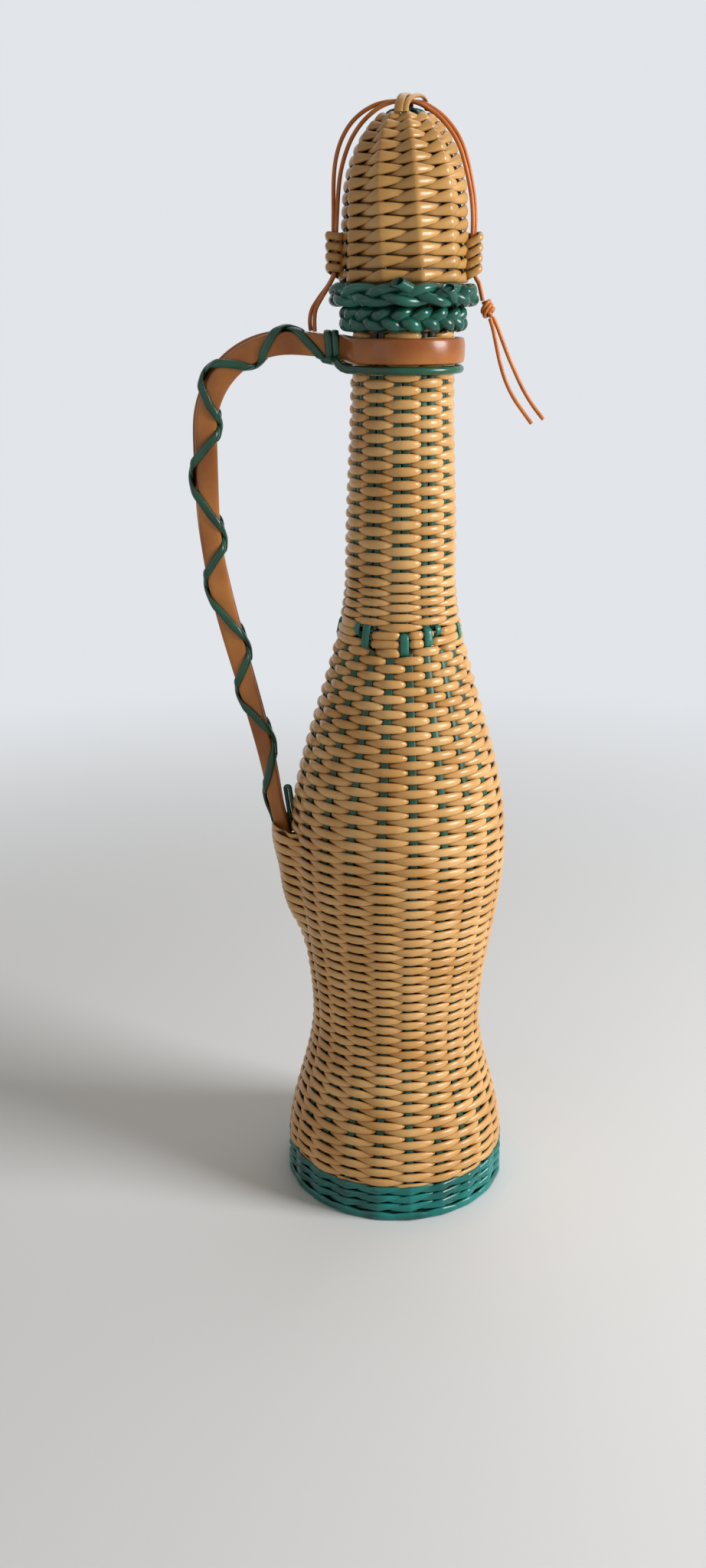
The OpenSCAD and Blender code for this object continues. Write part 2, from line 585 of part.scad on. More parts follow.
// Ring shell of the stakes in the neck, with a step outwards where they are bare
module neck_stake_layer(step_out) {
    z0 = joint_z + gap;
    z1 = collar_top_z - 1;
    low = z0 + 1.4;
    high = low + bare_l;
    deep = weave_t + stake_gap;
    bare = [[jacket_r(low) - deep, low], [jacket_r(low) + 0.1, low], [jacket_r(high) + 0.1, high],
        [jacket_r(high) - deep, high]];
    rotate_extrude()
        polygon(concat(step_out ? concat([[jacket_r(z0) - deep, z0]], bare) : [],
            [for (z = steps(step_out ? high + 4 : z0, z1, outline_step)) [jacket_r(z) - deep, z]],
            [for (z = steps(z1, z0, outline_step)) [jacket_r(z) - jacket_t + 0.1, z]]));
}

// Two stakes side by side in each direction, and one of them bare over the joint
module neck_stakes() {
    z0 = joint_z;
    z1 = collar_top_z;
    side = stake_w / 2 + 0.1;
    color(leaf) {
        intersection() {
            neck_stake_layer(true);
            union()
                for (i = [0:neck_stake_n - 1])
                    spoke(front + i * neck_turn, stake_w, z0, z1, i == 0 ? 0 : side);
        }
        intersection() {
            neck_stake_layer(false);
            union()
                for (i = [1:neck_stake_n - 1])
                    spoke(front + i * neck_turn, stake_w, z0, z1, -side);
        }
    }
}

module neck_weave() {
    z0 = joint_z + gap / 2;
    bare_z = joint_z + gap + 1.2;
    inner = steps(weave_top_z, z0, outline_step);
    color(honey)
        difference() {
            rotate_extrude()
                polygon(concat(courses(z0, weave_top_z, neck_course_h), [[neck_r - groove_t, weave_top_z]],
                    [for (z = inner) [jacket_r(z) - weave_t, z]]));
            for (i = [0:neck_stake_n - 1])
                spoke(front + i * neck_turn, stake_w + 0.4, bare_z, bare_z + bare_l + 0.4,
                    i == 0 ? 0 : stake_w / 2 + 0.1);
        }
}

module collar_plait() {
    color(leaf) plait_strands(collar_r, collar_n, collar_z);
}

module neck_ring_cord() {
    color(leaf)
        sweep(ring_cord_points, [for (p = ring_cord_points) up], [oval(ring_cord_d, ring_cord_d, 12)]);
}

module strap_handle() {
    color(caramel)
        sweep(strap_points, strap_normals, [for (w = strap_widths) strap_section(w)]);
}

module strap_binding() {
    color(leaf)
        sweep(binding_points, binding_normals, [oval(binding_d, binding_d, 6)]);
}

module handle_lace_under() {
    color(leaf)
        sweep(under_points, under_normals, [oval(lace_t, lace_w, 6)]);
}

module handle_lace_over() {
    color(leaf)
        sweep(over_points, over_normals, [oval(lace_t, lace_w, 6)]);
}

// Doubled tie that stands in the corner between handle and jacket
module foot_tie() {
    r = foot_tie_d / 2 + 0.05;
    color(leaf)
        translate([tie_in - belly_r, 0, tuck_z - tie_sink])
            rotate([0, -tie_lean, 0]) {
            for (side = [-1, 1])
                translate([side * r, 0, 0]) cylinder(d = foot_tie_d, h = tie_h, $fn = 32);
            translate([0, 0, tie_h])
                rotate([90, 0, 0])
                    rotate_extrude(angle = 180)
                        translate([r, 0]) circle(d = foot_tie_d, $fn = 32);
        }
}

module tether() {
    color(orange) {
        cord_tube(tether_outer, tie_d);
        cord_tube(tether_inner, tie_d);
    }
}

module cork() {
    r = bore_d / 2 - cork_gap;
    head_r = min(cap_r, cap_low_r) - weave_t - stake_t - 3 * gap;
    color(cork_tint)
        rotate_extrude()
            polygon([[0, lip_z - cork_l], [r - 1, lip_z - cork_l], [r, lip_z - cork_l + 1.2], [r, head_z],
                [head_r - 1, head_z], [head_r, head_z + 1], [head_r, head_z + cork_head_h - 2],
                [head_r - 2, head_z + cork_head_h], [0, head_z + cork_head_h]]);
}

// Cap outline at a depth under its surface: straight skirt, then a dome
function cap_point(t, deep) = t < 0 ? [mix(cap_r, cap_low_r, -t) - deep, mix(dome_z, cap_z, -t)]
    : [(cap_r - deep) * cos(t), dome_z + (dome_h - deep) * sin(t)];
crown_angle = acos(crown_r / cap_r);
function cap_side(deep, low = -1) = concat([for (t = [low:0.25:-0.01]) cap_point(t, deep)],
    [for (t = [0:6:crown_angle]) cap_point(t, deep)]);

module cap_stakes() {
    deep = weave_t + 0.1;
    outer = cap_side(deep);
    inner = cap_side(deep + stake_t - 0.2);
    color(leaf)
        intersection() {
            rotate_extrude()
                polygon(concat(
                    [[cap_low_r - deep - stake_t + 0.2, head_z + 1], [cap_low_r - deep, head_z + 1]],
                    outer,
                    [for (i = [len(inner) - 1:-1:0]) inner[i]]));
            union()
                for (i = [0:cap_stake_n - 1])
                    spoke(front + 10 + i * full_turn / cap_stake_n, stake_w, head_z, dome_z + dome_h);
        }
}

module cap_weave() {
    low_n = round(cap_straight_h / cap_course_h);
    dome_arc = 1.18 * (dome_h + cap_r) * PI / 4 * crown_angle / 90;
    top_n = round(dome_arc / cap_course_h);
    shape = [[0, groove_t], [0.2, 0.1], [0.5, 0], [0.8, 0.1]];
    low = [for (i = [0:low_n - 1], p = shape) cap_point(-1 + (i + p[0]) / low_n, p[1])];
    top = [for (i = [0:top_n - 1], p = shape) cap_point((i + p[0]) / top_n * crown_angle, p[1])];
    inner = cap_side(weave_t);
    color(honey)
        difference() {
            rotate_extrude()
                polygon(concat(low, top,
                    [cap_point(crown_angle, groove_t)], [cap_point(crown_angle, weave_t)],
                    [for (i = [len(inner) - 1:-1:0]) inner[i]]));
            for (side = [-1, 1])
                translate([side * loop_x, 0, loop_mid_z - loop_turns * loop_pitch / 2 - loop_d])
                    cylinder(r = 2.9 + loop_d / 2 + 0.5, h = loop_turns * loop_pitch + 2 * loop_d);
        }
}

// Bare top of the cap, where the stakes run together
module cap_crown() {
    r = crown_r - 0.3;
    rim = acos(r / (cap_r - 0.5));
    color(leaf)
        difference() {
            rotate_extrude()
                polygon(concat([for (t = [rim:(90 - rim) / 5:90.01])
                        [(cap_r - 0.5) * cos(t), dome_z + (dome_h - 0.5) * sin(t)]],
                    [[0, dome_z + dome_h - 4.4], [r - 1.2, dome_z + (dome_h - 0.5) * sin(rim) - 1.6]]));
            for (i = [0:cap_stake_n - 1])
                rotate([0, 0, front + 28 + i * full_turn / cap_stake_n])
                    translate([5.2, -0.25, dome_z + dome_h - 4])
                        cube([6, 0.5, 6]);
        }
}

// Two flat loops that hold the tie cord down on the crown: a wide one and a narrow slanted one
module flat_loop(route, thick, wide) {
    pts = smooth_route(route, 2);
    translate([0, 0, dome_z + dome_h])
        sweep(pts, [for (p = pts) [0, p[1] * 2, p[2] + 6]], [oval(thick, wide, 8)]);
}

module top_loops() {
    color(honey) {
        flat_loop(wide_loop, loop_t, loop_d * 1.5);
        flat_loop(narrow_loop, loop_t, loop_d * 0.9);
    }
}

module side_loop_left() {
    color(honey)
        sweep(side_loop(-1), coil_normals(up, [-1, 0, 0], loop_turns, 180), [oval(loop_d, loop_d, 6)]);
}

module side_loop_right() {
    color(honey)
        sweep(side_loop(1), coil_normals(up, [1, 0, 0], loop_turns, 180), [oval(loop_d, loop_d, 6)]);
}

module rim_plait() {
    color(leaf) plait_strands(rim_r, rim_n, rim_z);
}

// Cut tube ends that lean out between rim plait and cap, spaced unevenly as by hand
tube_dirs = [30, 62, 95, 128, 156, 206, 265, 304, 332];
tube_d = 3.2;
tube_wall = 0.5;
tube_l = 3.4;
tube_lean = unit([0.5, -0.75, 0.4]);

module rim_tube_ends() {
    color(leaf)
        for (dir = tube_dirs)
            rotate([0, 0, dir])
                translate([cap_low_r + tube_d / 2 + 0.8, 0, cap_z + tube_d / 2 - gap])
                    rotate([0, acos(tube_lean[2]), atan2(tube_lean[1], tube_lean[0])])
                        difference() {
                            cylinder(d = tube_d, h = tube_l, center = true, $fn = 32);
                            cylinder(d = tube_d - 2 * tube_wall, h = tube_l + 2, center = true, $fn = 32);
                        }
}

module tie_cord() {
    color(orange) {
        cord_tube(outer_strand, tie_d);
        cord_tube(inner_strand, tie_d);
    }
}

module tie_knot() {
    r = knot_d / 2;
    h = knot_l / 2;
    color(orange)
        translate([30.15, 0, 353.5])
            rotate([0, 150, 0])
                rotate_extrude()
                    polygon([[0, -h], [r * 0.68, -h], [r * 0.95, -h * 0.7], [r, -h * 0.35], [r * 0.78, -0.2],
                        [r * 0.78, 0.2], [r, h * 0.35], [r * 0.92, h * 0.7], [r * 0.68, h], [0, h]]);
}

module tie_tail_front() {
    color(orange) cord_tube(front_tail, tie_d);
}

module tie_tail_back() {
    color(orange) cord_tube(back_tail, tie_d);
}

glass_bottle();
base_mat();
foot_band();
body_stakes();
body_weave();
neck_stakes();
neck_weave();
collar_plait();
neck_ring_cord();
strap_handle();
strap_binding();
handle_lace_under();
handle_lace_over();
foot_tie();
tether();
cork();
cap_stakes();
cap_weave();
cap_crown();
top_loops();
side_loop_left();
side_loop_right();
rim_plait();
rim_tube_ends();
tie_cord();
tie_knot();
tie_tail_front();
tie_tail_back();
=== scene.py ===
# %% [markdown]
# # A woven bottle with a laced handle and a tied stopper
# The part is a tall glass bottle that is hidden in a jacket of glossy plastic tube. Honey coloured strands go over and
# under green stakes, a brown strap makes the handle, and an orange cord ties the domed stopper cover down.

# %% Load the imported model
import bpy, math
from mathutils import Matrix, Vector


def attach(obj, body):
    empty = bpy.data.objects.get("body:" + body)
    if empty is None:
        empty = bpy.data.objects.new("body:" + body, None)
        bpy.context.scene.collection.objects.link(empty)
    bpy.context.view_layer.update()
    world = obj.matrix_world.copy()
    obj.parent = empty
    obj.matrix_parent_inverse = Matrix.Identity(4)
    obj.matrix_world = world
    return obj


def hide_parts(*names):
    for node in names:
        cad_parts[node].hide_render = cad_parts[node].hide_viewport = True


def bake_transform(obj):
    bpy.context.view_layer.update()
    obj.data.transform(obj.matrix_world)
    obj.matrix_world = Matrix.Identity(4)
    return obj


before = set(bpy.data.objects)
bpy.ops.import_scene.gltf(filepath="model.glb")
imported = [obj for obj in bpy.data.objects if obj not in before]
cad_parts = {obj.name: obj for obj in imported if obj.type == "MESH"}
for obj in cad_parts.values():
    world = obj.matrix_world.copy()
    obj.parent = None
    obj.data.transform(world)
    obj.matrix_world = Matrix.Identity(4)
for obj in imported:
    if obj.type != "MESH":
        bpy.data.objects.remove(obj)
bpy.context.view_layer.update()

# %% [markdown]
# ## Camera
# The photograph was taken from about half a metre away, a little above the rim, so the camera looks down by 18.7
# degrees. The frame is tall, so the lens is set against the sensor's height.

# %% Camera
MM = 0.001
camera_data = bpy.data.cameras.new("camera")
camera_data.sensor_fit = "VERTICAL"
camera_data.sensor_height = 36
camera_data.sensor_width = 36
camera_data.lens = 32.99
camera = bpy.data.objects.new("camera", camera_data)
camera.location = (0, -545 * MM, 357.02 * MM)
camera.rotation_euler = (math.radians(90 - 18.6557), 0, math.radians(1.9058))
bpy.context.scene.collection.objects.link(camera)
bpy.context.scene.camera = camera

# %% [markdown]
# ## Colours and material nodes
# Colours are written as sRGB hex values, as a colour picker shows them, and one function turns them to the linear
# values that the shader wants. One more function adds a node with its settings and links.

# %% Colour and node helpers
def colour(hex_value):
    """Linear RGBA of an sRGB hex colour."""
    parts = [int(hex_value[i:i + 2], 16) / 255 for i in (1, 3, 5)]
    return [c / 12.92 if c <= 0.04045 else ((c + 0.055) / 1.055) ** 2.4 for c in parts] + [1]


def add_node(material, kind, settings=None, links=None):
    """Adds a node, sets its properties or sockets, and links other nodes' outputs to its inputs."""
    node = material.node_tree.nodes.new(kind)
    for key, value in (settings or {}).items():
        if isinstance(key, str) and hasattr(node, key):
            setattr(node, key, value)
        else:
            node.inputs[key].default_value = value
    for key, output in (links or {}).items():
        material.node_tree.links.new(output, node.inputs[key])
    return node


def tube_plastic(name, dark, light, roughness=0.28, grain_mm=14, bump=0.08, coat=0.12, shine=0.25):
    """Extruded soft vinyl tube: glossy, a little uneven in colour from strand to strand."""
    material = bpy.data.materials.new(name)
    material.use_nodes = True
    material.node_tree.nodes.clear()
    place = add_node(material, "ShaderNodeTexCoord")
    patches = add_node(material, "ShaderNodeTexNoise", {"Scale": 1000 / grain_mm, "Detail": 2.0},
                       {"Vector": place.outputs["Object"]})
    tone = add_node(material, "ShaderNodeValToRGB", None, {"Fac": patches.outputs["Fac"]})
    tone.color_ramp.elements[0].position = 0.32
    tone.color_ramp.elements[0].color = colour(dark)
    tone.color_ramp.elements[1].position = 0.68
    tone.color_ramp.elements[1].color = colour(light)
    # Painted shade: the mask that strand() stores on each mesh multiplies the colour by a warm brown, so the side
    # facing the bottle and the parts that dive under other strands look shaded.
    shade_mask = add_node(material, "ShaderNodeAttribute", {"attribute_name": "painted_shade"})
    tone = add_node(material, "ShaderNodeMix", {"data_type": "RGBA", "blend_type": "MULTIPLY", 7: colour("#8c6440")},
                    {0: shade_mask.outputs["Fac"], 6: tone.outputs["Color"]})
    ripple = add_node(material, "ShaderNodeTexNoise", {"Scale": 420.0, "Detail": 3.0},
                      {"Vector": place.outputs["Object"]})
    relief = add_node(material, "ShaderNodeBump", {"Strength": bump, "Distance": 0.0006},
                      {"Height": ripple.outputs["Fac"]})
    matt = add_node(material, "ShaderNodeMapRange", {"To Min": roughness - 0.06, "To Max": roughness + 0.08},
                    {"Value": ripple.outputs["Fac"]})
    shader = add_node(material, "ShaderNodeBsdfPrincipled",
                      {"Specular IOR Level": shine, "Coat Weight": coat, "Coat Roughness": 0.2},
                      {"Base Color": tone.outputs[2], "Roughness": matt.outputs["Result"],
                       "Normal": relief.outputs["Normal"]})
    add_node(material, "ShaderNodeOutputMaterial", None, {"Surface": shader.outputs["BSDF"]})
    return material


honey = tube_plastic("honey vinyl tube", "#c4914f", "#dbad6e", roughness=0.32, coat=0.22, shine=0.3)
straw = tube_plastic("straw vinyl tube", "#b08242", "#ca9a58", roughness=0.32, coat=0.25, shine=0.3)
leaf = tube_plastic("dark green vinyl tube", "#0b3c31", "#176150", roughness=0.22, shine=0.35)
moss = tube_plastic("moss green vinyl tube", "#113c2b", "#1e5a41", roughness=0.24, shine=0.35)
stake_green = tube_plastic("green stake tube", "#22695a", "#388a77", roughness=0.26)
teal = tube_plastic("teal vinyl tube", "#0a4e46", "#13807a", roughness=0.24, coat=0.3)
caramel = tube_plastic("brown strap vinyl", "#88491b", "#c47f3c", coat=0.3, shine=0.2, grain_mm=26, bump=0.1)
orange = tube_plastic("orange vinyl cord", "#ae5a24", "#d0803c", roughness=0.3, grain_mm=9)
# Painted shade: a dark straw for the sheet inside the stopper cap, which stands for the shade seen through its gaps.
shaded = tube_plastic("straw tube in shade", "#5c3e1c", "#704e26", roughness=0.5)
# Painted shade: a darker copy of the stake green for the stake lengths that lie under the courses.
shaded_green = tube_plastic("green tube in shade", "#1f4636", "#2f604c", roughness=0.4)

# %% [markdown]
# ## Strands
# A strand is a curve with a profile swept along it, as a maker would draw it by hand: the points give the route, the
# radius at each point makes the float swell and narrow, and the tilt keeps the flat side on the surface. The curve is
# then turned into a mesh. The side that faces the bottle, and the thin parts where a strand dives under, are marked,
# and
# the material paints shade there: darker and browner, in place of the light that gets in between warm coloured tubes
# and comes back brown.

# %% Strand helper
def ease(t):
    t = min(1, max(0, t))
    return t * t * (3 - 2 * t)


def mix(a, b, t):
    return a + (b - a) * t


def profile(half_out, half_across, points=8, bend=1.0):
    """Closed outline that a strand sweeps, in millimetres. A bend under 1 makes its sides flatter."""
    data = bpy.data.curves.new("profile", "CURVE")
    data.dimensions = "2D"
    line = data.splines.new("POLY")
    line.points.add(points - 1)
    for i, point in enumerate(line.points):
        c, d = math.cos(2 * math.pi * i / points), math.sin(2 * math.pi * i / points)
        point.co = (math.copysign(half_out * MM * abs(c) ** bend, c),
                    math.copysign(half_across * MM * abs(d) ** bend, d), 0, 1)
    line.use_cyclic_u = True
    return bpy.data.objects.new("profile", data)


def strand(name, routes, outline, material, closed=False, hollow=False, laid=True):
    """Sweeps the outline along routes. Each route is a list of (point in mm, outward direction, size).
    The inner side of a laid strand, and the thin parts where it dives under other strands, are marked for painted
    shade."""
    data = bpy.data.curves.new(name, "CURVE")
    data.dimensions = "3D"
    data.twist_mode = "Z_UP"
    data.bevel_mode = "OBJECT"
    data.bevel_object = outline
    data.use_fill_caps = not (closed or hollow)
    for route in routes:
        n = len(route)
        line = data.splines.new("POLY")
        line.points.add(n - 1)
        places = [Vector(p) * MM for p, _, _ in route]
        for i, (p, out, size) in enumerate(route):
            before = places[i - 1] if i or closed else places[i]
            after = places[(i + 1) % n] if i < n - 1 or closed else places[i]
            d = (places[i] - before).normalized() + (after - places[i]).normalized()
            local = d.normalized().to_track_quat("-Z", "Y").conjugated() @ Vector(out)
            line.points[i].co = (*places[i], 1)
            line.points[i].radius = size
            line.points[i].tilt = -math.atan2(local.y, local.x)
        line.use_cyclic_u = closed
    made = bpy.data.objects.new(name, data)
    bpy.context.scene.collection.objects.link(made)
    bpy.ops.object.select_all(action="DESELECT")
    made.select_set(True)
    bpy.context.view_layer.objects.active = made
    bpy.ops.object.convert(target="MESH")
    made = bpy.context.object
    bpy.ops.object.shade_smooth()
    made.data.materials.clear()
    made.data.materials.append(material)
    # Painted shade mask: 1 where the tube faces the bottle or thins to dive under another strand, 0 on its open face;
    # the end caps get 0.
    if laid:
        corners = len(outline.data.splines[0].points)
        shade_mask = [] if closed or hollow else [0] * 2 * corners * len(routes)
        for _, _, size in [spot for route in routes for spot in route]:
            thin = 1 - ease((size - 0.2) / 0.15)
            shade_mask += [max(thin, ease((0.45 - math.cos(2 * math.pi * k / corners)) / 0.9)) for k in range(corners)]
        made.data.attributes.new("painted_shade", "FLOAT", "POINT").data.foreach_set("value", shade_mask)
    print(name, len(made.data.polygons), "faces")
    return made


def turned(angle, r, z):
    return (r * math.cos(angle), r * math.sin(angle), z)

# %% [markdown]
# ## Orange cords
# A thin vinyl cord runs double from the strap up to the left side loop, over the crown, down through the right side
# loop and into a knot, and its two ends hang free. The stretch from strap to stopper is fixed in place and belongs to
# neither body, and only the two ends are free cords.

# %% Cord routes
def smooth(points, extra=5):
    """Points of a smooth line through the given ones."""
    p = [Vector(q) for q in points]
    out = []
    for i in range(len(p) - 1):
        a, b, c, d = p[max(0, i - 1)], p[i], p[i + 1], p[min(len(p) - 1, i + 2)]
        for k in range(extra):
            t = k / extra
            out.append(0.5 * (2 * b + (c - a) * t + (2 * a - 5 * b + 4 * c - d) * t * t
                              + (3 * b - a - 3 * c + d) * t ** 3))
    return out + [p[-1]]


outer_strand = [(-25.1, 0.9, 366), (-25.1, 0.9, 373), (-25.1, 0.9, 380), (-25.05, 0.9, 385.5), (-25.05, 0.95, 391),
    (-25, 0.95, 395.5), (-24.7, 0.95, 400), (-24, 0.95, 404.2), (-22.7, 0.95, 408.4), (-20.9, 0.95, 412),
    (-18.7, 0.95, 415), (-16.1, 0.95, 417.4), (-13.2, 0.95, 419.3), (-9.7, 0.95, 420.8), (-5.4, 0.9, 421.6),
    (0, 0.85, 421.7), (3.8, 0.85, 421.5), (7.4, 0.9, 420.6), (12.9, 0.95, 417.2), (17.2, 1, 412.6),
    (20.1, 1, 407.7), (22, 1, 402.4), (23.5, 1, 396.2), (24.6, 0.95, 390), (25.1, 0.95, 384.2), (25.05, 0.95, 379),
    (25, 0.9, 372), (24.95, 0.9, 367.6), (25.3, 0.9, 365.4), (26.1, 0.9, 363.6), (27, 0.9, 362), (27.8, 0.85, 359),
    (28.4, 0.8, 356.4)]
inner_strand = [(-24.6, -0.9, 366), (-24.2, -0.9, 369.6), (-24.1, -0.9, 373), (-24.05, -0.95, 379),
    (-23.8, -1.2, 384), (-23.5, -1.5, 389), (-23.1, -1.5, 394), (-22.5, -1.3, 398.4), (-21.6, -1, 402.2),
    (-20.4, -0.95, 405.8), (-18.9, -0.95, 409.2), (-16.9, -0.95, 412.4), (-14.6, -0.95, 415.2),
    (-11.8, -0.95, 417.7), (-8.6, -0.95, 419.8), (-5.2, -0.95, 421.1), (-2.2, -0.95, 421.6), (0.6, -0.9, 421.6),
    (3.4, -0.9, 421.2), (6.6, -0.95, 419.9), (11.9, -1.1, 416.4), (16.1, -1.2, 411.8), (18.9, -1.2, 407.1),
    (20.8, -1.2, 401.9), (22.4, -1.2, 395.9), (23.6, -1.1, 389.8), (24.1, -1, 384.1), (24.15, -0.95, 379),
    (24.3, -0.9, 372), (24.55, -0.9, 367.8), (25.1, -0.9, 365.4), (26, -0.9, 363.6), (27, -0.9, 362),
    (27.8, -0.85, 359), (28.4, -0.8, 356.4)]
tether_outer = [(-25.15, 0.9, 365.8), (-25.6, 0.9, 364.2), (-27.4, 0.9, 361.2), (-30.4, 0.9, 357.4),
    (-33, 1, 353.4), (-33.8, 1.2, 349.6), (-33.5, 1.4, 346.05)]
tether_inner = [(-24.65, -0.9, 365.8), (-25.2, -0.9, 364.2), (-27.1, -0.9, 360.9), (-29.6, -0.9, 357),
    (-31.5, -1, 353.4), (-32, -1.2, 349.8), (-31.9, -1.4, 345.8)]
front_tail = [(31.1, -0.8, 350.4), (32.4, -0.9, 346.6), (33.6, -1, 341.6), (35.2, -1.1, 335.2), (37.4, -1.2, 328.8),
    (40.4, -1.3, 323), (43.9, -1.4, 318.2), (47.4, -1.5, 313.7)]
back_tail = [(32.2, 0.8, 350.9), (34, 0.9, 347.4), (36, 1, 342.6), (38.4, 1.1, 337), (41, 1.2, 331.6),
    (44, 1.3, 325.8), (47.8, 1.4, 320), (51.9, 1.5, 315)]
cord_d = 1.5
round_cord = profile(cord_d / 2, cord_d / 2, 12)


def cord_route(points):
    return [(p, (0, 1, 0), 1) for p in smooth(points)]


def tail(name, points, node):
    data = bpy.data.curves.new(name, "CURVE")
    data.dimensions = "3D"
    data.bevel_depth = cord_d / 2 * MM
    data.bevel_resolution = 3
    data.use_fill_caps = True
    route = smooth(points, 3)
    line = data.splines.new("POLY")
    line.points.add(len(route) - 1)
    for point, p in zip(line.points, route):
        point.co = (*(p * MM), 1)
    made = bpy.data.objects.new(name, data)
    bpy.context.scene.collection.objects.link(made)
    data.materials.append(orange)
    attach(made, "stopper")
    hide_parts(node)
    return made


tail("tail_front", front_tail, "tie_tail_front")
tail("tail_back", back_tail, "tie_tail_back")
cords = strand("cords_over_cap", [cord_route(outer_strand), cord_route(inner_strand)], round_cord, orange,
               laid=False)
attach(cords, "stopper")
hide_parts("tie_cord")
slack = strand("tether_cords", [cord_route(tether_outer), cord_route(tether_inner)], round_cord, orange,
               laid=False)
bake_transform(slack)
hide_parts("tether")

# %% [markdown]
# ## Jacket outline
# The jacket follows the hidden bottle: a wide foot, a waist, a belly and a long neck. The radius is eased between five
# stations, with the same sizes as the solids.

# %% Jacket outline
foot_r, waist_r, belly_r, neck_low_r, neck_r = 45.9, 35.1, 43.5, 21.3, 19.2
stations = [(14, foot_r), (74, waist_r), (152, belly_r), (262, neck_low_r), (335, neck_r)]
band_top, joint_z, weave_top = 15.6, 232.5, 346.2
tuck_z = 156


def jacket_r(z):
    for (z0, r0), (z1, r1) in zip(stations, stations[1:]):
        if z < z1:
            return mix(r0, r1, ease((z - z0) / (z1 - z0)))
    return neck_r


def table_value(table, x):
    for (x0, y0), (x1, y1) in zip(table, table[1:]):
        if x < x1:
            return mix(y0, y1, max(0, (x - x0) / (x1 - x0)))
    return table[-1][1]


def jacket_normal(angle, z):
    slope = (jacket_r(z + 1) - jacket_r(z - 1)) / 2
    return Vector((math.cos(angle), math.sin(angle), -slope)).normalized()

# %% [markdown]
# ## Weave
# The courses are plain weave: each strand goes over one stake and under the next, and since the number of stakes is
# odd, one strand can wind up the whole body. Over a stake the tube swells to a leaf shape, and it narrows where it
# dives behind the next one, so a small square of stake shows between two floats.

# %% Course spacing and float shape
pitches = [(16, 2.15), (24, 2.2), (30, 2.35), (37, 2.62), (42, 2.5), (48, 2.2), (118, 2.1), (140, 2.2), (158, 2.35),
           (166, 2.62), (205, 2.6), (220, 2.72), (232, 2.83), (233, 3.1), (241, 3.1),
           (241.8, 1.779), (254, 1.779), (262, 2.3), (268, 2.4), (346, 2.3)]
front = math.radians(270)
STEPS = 10
# Distance from the stake in stake spacings, negative on its left: how deep the strand's middle lies. The right end
# of a float lies over the left ends of its neighbours.
depths = [(-1, 3.85), (-0.75, 2.4), (-0.5, 1.75), (-0.25, 1.25), (0, 1.0), (0.25, 1.05), (0.5, 1.3), (0.75, 1.7),
          (1, 3.85)]
# Distance from the edge of the next stake in mm, negative behind it, and the least depth there
dive = [(-1.5, 3.85), (-0.2, 3.4), (0.9, 2.3), (1.9, 1.55), (3.4, 1.0)]
# Stakes that are bare over the joint: angle in degrees, lower end, upper end, and half width
bare_stakes = [(237, 234.3, 241.9, 1.65), (225.6, 238.6, 242, 1.3), (274.2, 232.7, 238.7, 1.65),
               (297.2, 235.5, 240.6, 1.65), (308.8, 238.9, 241.2, 1.3), (344, 235, 240.6, 1.5)]
bare_stakes += [(12.5 + 32.73 * i, 233.4 + 0.8 * (i % 2), 239.2 + 0.6 * (i % 3), 1.6) for i in range(6)]


def behind_bare(angle, z, r):
    """How far a course is behind a bare stake: 1 in the middle of it, 0 beside it."""
    most = 0
    for degrees, low, high, half in bare_stakes:
        away = angle - math.radians(degrees)
        away = abs(math.atan2(math.sin(away), math.cos(away))) * r
        inside = ease((z - low + 0.9) / 0.9) * ease((high + 0.9 - z) / 0.9)
        most = max(most, inside * (1 - ease((away - half + 0.1) / 1.4)))
    return most


def bulge(z):
    """How far the courses stand out over the tucked end of the strap."""
    if z > tuck_z or z < tuck_z - 56:
        return 0
    rise = 5.9 * math.sin(math.radians(90 * ease((z - tuck_z + 56) / 36)))
    return rise + 2 * ease((z - tuck_z + 20) / 18)


def over_strap(angle, z, r):
    """Radius where the courses pass over the strap, and how much the strap lifts them."""
    away = math.atan2(math.sin(angle - math.pi), math.cos(angle - math.pi))
    b = bulge(z)
    if b <= 0 or abs(away) > 0.9:
        return r, 0
    c = 31
    ring = r + b - c
    inside = ring * ring - (c * math.sin(away)) ** 2
    if inside <= 0:
        return r, 0
    over = c * math.cos(away) + math.sqrt(inside) - r
    soft = 2.5
    blend = max(0, 1 - abs(over) / soft)
    lift = ease((b - 1) / 4) * (1 - ease((abs(away) * r - 3.5) / 3))
    return r + max(0, over) + blend * blend * soft / 4, lift


def float_half(u, pitch, full):
    """Half height of a float: full over its stake, about half a course beside it, narrow behind the next stake."""
    full = min(full, 0.86 * pitch)
    beside = max(0.42, 1.05 * (pitch - 0.95 * full))
    if u < 0:
        return table_value([(0, full), (0.25, 0.94 * full), (0.5, 0.5 * pitch), (0.75, beside), (1, 0.5)], -u)
    return table_value([(0, full), (0.25, 0.98 * full), (0.5, 0.6 * pitch), (0.75, 1.15 * beside), (0.9, 0.6 * beside),
                        (1, 0.5)], u)


